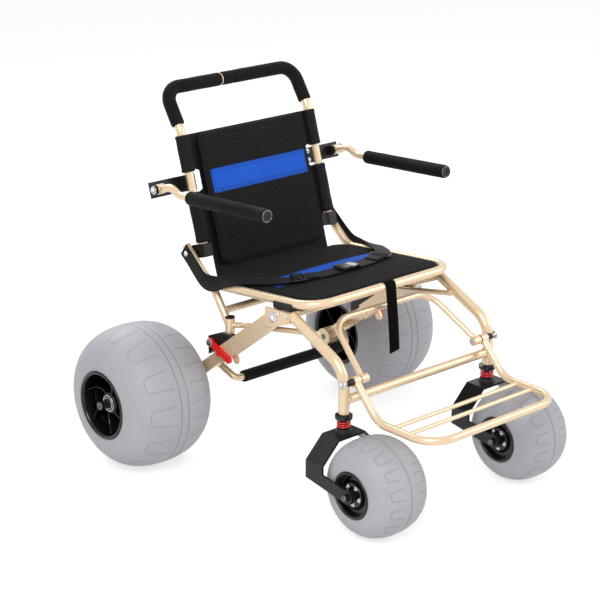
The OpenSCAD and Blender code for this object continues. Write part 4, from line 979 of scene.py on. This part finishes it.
def buckle():
    """Side-release buckle: body with two ribs, pale tab, end bar and two prongs."""
    at = Matrix.Translation(seat_point(0, 0.33, 0.0252)) @ Matrix.Rotation(-SEAT_SLOPE, 4, "X")
    rib = (0.0016, 0.015, 0.0098, 0.0108, 0.0012)
    prong = (0.012, 0.0026, 0.0012, 0.0074, 0.0022)

    def piece(x, y, sizes, mat=gloss_black, turn=0.0, waist=0.0):
        to = at @ Matrix.Translation((x, y, 0)) @ Matrix.Rotation(turn, 4, "Z")
        return block(*sizes, mat, to, waist)
    return join("side_release_buckle", [
        piece(-0.0115, 0, (0.0165, 0.0215, 0.0, 0.0098, 0.005), waist=0.1),
        piece(-0.0225, 0, rib), piece(-0.018, 0, rib),
        piece(0.011, 0, (0.0125, 0.0155, 0.0008, 0.009, 0.003), grey_plastic),
        piece(0.025, 0, (0.0042, 0.0205, 0.0004, 0.0084, 0.003)),
        *[piece(0.012, sg * 0.0188, prong, turn=sg * -0.1) for sg in (-1, 1)]])


ride(buckle(), "chassis", "belt_buckle")


# Fasteners, bearings and welds

def bolt(p, d, r, h, mat, washer=True):
    """Hexagon head of size r and height h with a domed end, on a washer."""
    to = toward(p, d)
    under = [(0, 0), (0, r * 1.5), (0.0009, r * 1.55), (0.0014, r * 1.45), (0.0014, 0)]
    head = [(0.0012, 0), (0.0012, r * 1.02), (h * 0.72, r * 1.02), (h, r * 0.86), (h, 0)]
    dome = [(h - 0.0004, 0), (h - 0.0004, r * 0.62), (h + 0.0012, r * 0.52), (h + 0.0018, r * 0.3), (h + 0.0018, 0)]
    parts = [turned(under, steel, to, 28)] if washer else []
    return parts + [turned(head, mat, to, 6, False), turned(dome, mat, to, 20)]


LARGE, MEDIUM, LATCH_BOLT, SMALL = (0.0085, 0.0062), (0.0068, 0.0062), (0.0068, 0.0058), (0.0042, 0.0036)
AXLE_CAP = [(0, 0), (0, 0.0105), (0.0168, 0.0105), (0.0186, 0.0094), (0.0188, 0.0084), (0.0172, 0.0072), (0.0166, 0)]
chassis_bits, leg_bits, back_bits = [], [], []
for sg in (-1, 1):
    out = X * sg
    chassis_bits += bolt(Vector((sg * 0.2604, KNUCKLE_Y, KNUCKLE_Z)), out, *LARGE, steel)
    chassis_bits += bolt(Vector((sg * 0.2562, FOOT_Y, FOOT_Z)), out, *MEDIUM, steel)
    chassis_bits += bolt(Vector((sg * 0.2462, HINGE.y, HINGE.z)), out, *MEDIUM, steel)
    for reach in (0.398, 0.372):
        chassis_bits += bolt(Vector((sg * 0.2602, fore(reach), 0.456)), out, *SMALL, steel, False)
    leg_bits += bolt(Vector((sg * 0.263, LATCH_Y, LATCH_Z)), out, *LATCH_BOLT, dark_steel)
    cap = toward(Vector((sg * 0.505, AXLE_Y, AXLE_Z)), out)
    leg_bits.append(turned(AXLE_CAP, dark_steel, cap))
    back_bits += bolt(back_point(sg * 0.3125, -0.008, 0.172), out, *MEDIUM, steel)
    for z in (0.16, 0.184):
        back_bits += bolt(back_point(sg * 0.194, -0.014, z), -out, *SMALL, steel)
ride(join("chassis_bolts", chassis_bits), "chassis")
ride(join("rear_leg_bolts", leg_bits), "rear_legs")
ride(join("backrest_bolts", back_bits), "backrest")


def swept_rib(at, start, face):
    """Curved rib from the nave to the rim on one face of the rear hub."""
    verts, n = [], 12
    for k in range(n + 1):
        f = k / n
        r = 0.0265 + 0.0485 * f
        a = start + 0.62 * f ** 1.4
        low, high = face * (0.04 - 0.026 * f), face * (0.0985 + 0.014 * f - 0.006 * math.sin(math.pi * f))
        c = Vector((0, math.cos(a), math.sin(a)))
        w = Vector((0, -math.sin(a), math.cos(a)))
        flank = [(low, 0.0027), (high - face * 0.0012, 0.0016), (high, 0.0008)]
        verts += [at @ (X * x + c * r + w * half) for x, half in flank + [(x, -half) for x, half in flank[::-1]]]
    return mesh("rib", verts, skin(n + 1, 6) + lids(n + 1, 6), gloss_black, False)


# Turned profiles of the wheels: distance along the axis, radius
BARREL = mirrored([(-0.1015, 0.0748), (-0.1018, 0.0752), (-0.1018, 0.0812), (-0.1015, 0.0816)])
NAVE = mirrored([(-0.1012, 0.0112), (-0.1012, 0.0262), (-0.0985, 0.028), (-0.06, 0.0292)])
DISH = mirrored([(0.05, 0.0275), (0.044, 0.036), (0.03, 0.052), (0.02, 0.066), (0.016, 0.0755)])
REAR_LIP = [(0.015, 0.0762), (0.0205, 0.0778), (0.0232, 0.08), (0.024, 0.0825), (0.023, 0.085), (0.02, 0.0866),
            (0.018, 0.0868), (0.0055, 0.0843)]
OUTER_RACE = [(-0.003, 0.0186), (0.0004, 0.0188), (0.001, 0.0194), (0.001, 0.0206), (0.0004, 0.0212),
              (-0.003, 0.0214)]
SEAL = [(-0.004, 0.015), (-0.0008, 0.0153), (-0.0008, 0.0185), (-0.004, 0.0188)]
INNER_RACE = [(-0.003, 0.0128), (0.0006, 0.013), (0.0012, 0.0134), (0.0012, 0.0144), (0.0006, 0.0149),
              (-0.003, 0.015)]
VALVE = [(0, 0), (0, 0.0042), (0.016, 0.004), (0.017, 0.0026), (0.026, 0.0026), (0.0275, 0.0018), (0.0275, 0)]
CASTER_LIP = [(-0.014, 0.0468), (0, 0.047), (0.0075, 0.048), (0.0118, 0.0495), (0.0138, 0.0514), (0.0142, 0.0532),
              (0.0136, 0.0552), (0.0118, 0.0562), (0.0095, 0.0566), (0.002, 0.0562), (0, 0.0541), (-0.012, 0.0538)]
FLANGE = [(-0.012, 0.0085), (0.0066, 0.0085), (0.007, 0.009), (0.007, 0.0282), (0.0064, 0.0292), (0.005, 0.0298),
          (-0.003, 0.032), (-0.0045, 0.0345), (-0.0045, 0.043), (-0.003, 0.0462), (0, 0.0474), (-0.012, 0.0474)]
CASTER_CAP = [(0, 0), (0, 0.0076), (0.0045, 0.0072), (0.0068, 0.0052), (0.0074, 0)]


def rear_hub(side, sg):
    """Barrel, dished middle, nave and six swept ribs on each face, with lips, bearings and a valve."""
    centre = Vector((sg * REAR_X, AXLE_Y, AXLE_Z))
    at = toward(centre, X * sg)
    parts = [turned(BARREL, gloss_black, at, 96), turned(NAVE, gloss_black, at, 64), turned(DISH, gloss_black, at, 96)]
    for face, reach in ((1, 1.0), (-1, 0.9)):
        parts += [swept_rib(at, math.radians(60 * k + 12), face) for k in range(6)]
        end = toward(centre + X * sg * face * 0.1025, X * face * sg)
        lip = [(-0.012, 0.074), (0, 0.0744), *[(x * reach, r) for x, r in REAR_LIP], (0, 0.0818), (-0.012, 0.0816)]
        parts.append(turned(lip, gloss_black, end, 96))
        for profile, mat in ((OUTER_RACE, steel), (SEAL, black_plastic), (INNER_RACE, steel)):
            parts.append(turned(profile, mat, end, 64))
    foot = at @ (X * 0.08) + Vector((0, -0.0606, -0.035))
    parts.append(turned(VALVE, brass, toward(foot, X * sg), 20))
    return join("rear_hub_body_" + side, parts)


for side, sg in SIDES:
    ride(rear_hub(side, sg), "rear_wheel_" + side, "rear_hub_" + side)
    centre = Vector((sg * CASTER_X, CASTER_Y, CASTER_Z))
    fittings, caps = [], []
    for face in (1, -1):
        out = X * face
        at = toward(centre + out * 0.06888, out)
        fittings += [turned(profile, gloss_black, at, 72) for profile in (CASTER_LIP, FLANGE)]
        for k in range(5):
            a = math.radians(72 * k - 13)
            place = at @ (X * 0.007) + Vector((0, -0.0222 * math.cos(a), 0.0222 * math.sin(a)))
            fittings += bolt(place, out, 0.004, 0.0036, steel)
        caps.append(turned(CASTER_CAP, dark_steel, toward(centre + out * 0.0985, out), 28))
    ride(join("caster_wheel_fittings_" + side, fittings), "caster_wheel_" + side)
    ride(join("caster_axle_caps_" + side, caps), "caster_fork_" + side)


def bead(pts, axis, thick):
    """Uneven weld bead along a closed line."""
    def radius(i):
        return thick * (1 + 0.22 * math.sin(i * 2.1) + 0.12 * math.sin(i * 0.7))
    return tube("bead", pts, radius, gold, 8, about=axis)


def ring_line(c, d, r):
    """Circle about the line from c along d."""
    e1 = d.orthogonal().normalized()
    return around(c, e1, d.cross(e1), r, 44)


def ring_weld(c, d, r):
    """Bead round a tube of radius r, from c along d, where it meets a flat face."""
    return bead(ring_line(Vector(c), d, r), d, 0.0016)


def weld(c, d, rb, q, w, ra, thick=0.0016):
    """Bead where a tube of radius rb, from c along d, meets a tube of radius ra about the line q, w."""
    d, q, w = Vector(d).normalized(), Vector(q), Vector(w).normalized()
    v = d - w * d.dot(w)
    pts = []
    for p in ring_line(Vector(c), d, rb):
        u = (p - q) - w * (p - q).dot(w)
        square_term, linear, rest = v.dot(v), 2 * u.dot(v), u.dot(u) - ra * ra
        root_term = math.sqrt(max(linear * linear - 4 * square_term * rest, 0))
        pts.append(p + d * (-linear - root_term) / (2 * square_term))
    return bead(pts, d, thick)


beads, foot_beads, rear_beads = [], [], []
for sg in (-1, 1):
    out = X * sg
    beads.append(weld((0, STEM_Y, 0.296), out, 0.011, (sg * CASTER_X, STEM_Y, 0.3), Z, 0.013))
    beads.append(weld((0, fore(0.13416), 0.39772), out, 0.0095, (sg * RAIL_X, fore(0.092), RAIL_REAR_Z),
                      (0, -0.068, -0.094), 0.01))
    beads.append(ring_weld((sg * 0.2255, fore(0.39), 0.455), out, 0.0098))
    beads.append(weld((sg * 0.223, fore(0.194), 0.3724), (sg * 0.012, 0.034, -0.0064), 0.007,
                      (sg * RAIL_X, fore(0.16), 0.36), Z, 0.0125))
    rear_beads.append(ring_weld((sg * 0.2356, fore(0.077), 0.2379), out, 0.0094))
    for reach in (0.712, 0.76):
        slat = fore(reach)
        foot_beads.append(weld((0, slat, 0.258), out, 0.005, (sg * 0.214, slat, 0.258), Y, 0.0095, 0.0011))
ride(join("frame_welds", beads), "chassis")
ride(join("rear_bar_welds", rear_beads), "rear_legs")
ride(join("footrest_welds", foot_beads), "footrest")


# Stitching on the bands and round the pads

STITCH, STITCH_GAP, THREAD_RADIUS, THREAD_LIFT = 0.0036, 0.002, 0.00055, 0.0003


def stitches(name, line, normals, mat, body):
    """Row of thread loops along a line on a surface."""
    run = runs(line)

    def point(s):
        i, f = locate(run, s)
        return line[i].lerp(line[i + 1], f), normals[i].lerp(normals[i + 1], f).normalized()
    s, rows, per = STITCH_GAP, 5, 5
    verts, faces = [], []
    while s + STITCH < run[-1]:
        faces += skin(rows, per, first=len(verts)) + lids(rows, per, len(verts))
        for k in range(rows):
            f = k / (rows - 1)
            p, n = point(s + STITCH * f)
            ahead, _ = point(min(run[-1], s + STITCH * f + 0.0004))
            side = (ahead - p).normalized().cross(n)
            lift = THREAD_LIFT + THREAD_RADIUS * 1.4 * math.sin(math.pi * f) - THREAD_RADIUS * 0.6
            verts += around(p + n * lift, side, n, THREAD_RADIUS, per)
        s += STITCH + STITCH_GAP
    return ride(mesh(name, verts, faces, mat), body)


def on_surface(ob, pts, up):
    """Points dropped on a mesh along -up, with the surface normals."""
    bpy.context.view_layer.update()
    out, nrm = [], []
    for p in pts:
        hit, at, n, _ = ob.ray_cast(p + up * 0.05, -up, distance=0.1)
        if hit:
            out.append(at)
            nrm.append(n if n.dot(up) > 0 else -n)
    return out, nrm


def sew(name, ob, place, lines, thread, body):
    """Stitches along lines that are given in the plane of a pad."""
    for k, line in enumerate(lines):
        pts = resample([place @ Vector((x, y, 0)) for x, y in line], 0.004)
        p, n = on_surface(ob, pts, place.to_3x3() @ Z)
        if len(p) > 2:
            stitches("%s_%d" % (name, k), p, n, thread, body)


EDGE_SEAM = 0.0165


def border(a, b, r):
    """Closed line inside the edge of a pad of half sizes a, b and corner radius r."""
    line = loop(a - EDGE_SEAM, b - EDGE_SEAM, r - EDGE_SEAM)
    return line + line[:1]


sew("seat_band_stitch", seat, seat_place, [[(-0.187, y), (0.187, y)] for y in (-0.0296, 0.0244)], thread_blue,
    "chassis")
sew("back_band_stitch", back, back_place, [[(-0.153, y), (0.153, y)] for y in (0.0175, 0.0225, 0.0655, 0.0705)],
    thread_blue, "backrest")
sew("seat_edge_stitch", seat, seat_place, [border(0.22125, 0.191, 0.048)], thread_black, "chassis")
sew("back_edge_stitch", back, back_place, [border(0.168, 0.165, 0.022)], thread_black, "backrest")
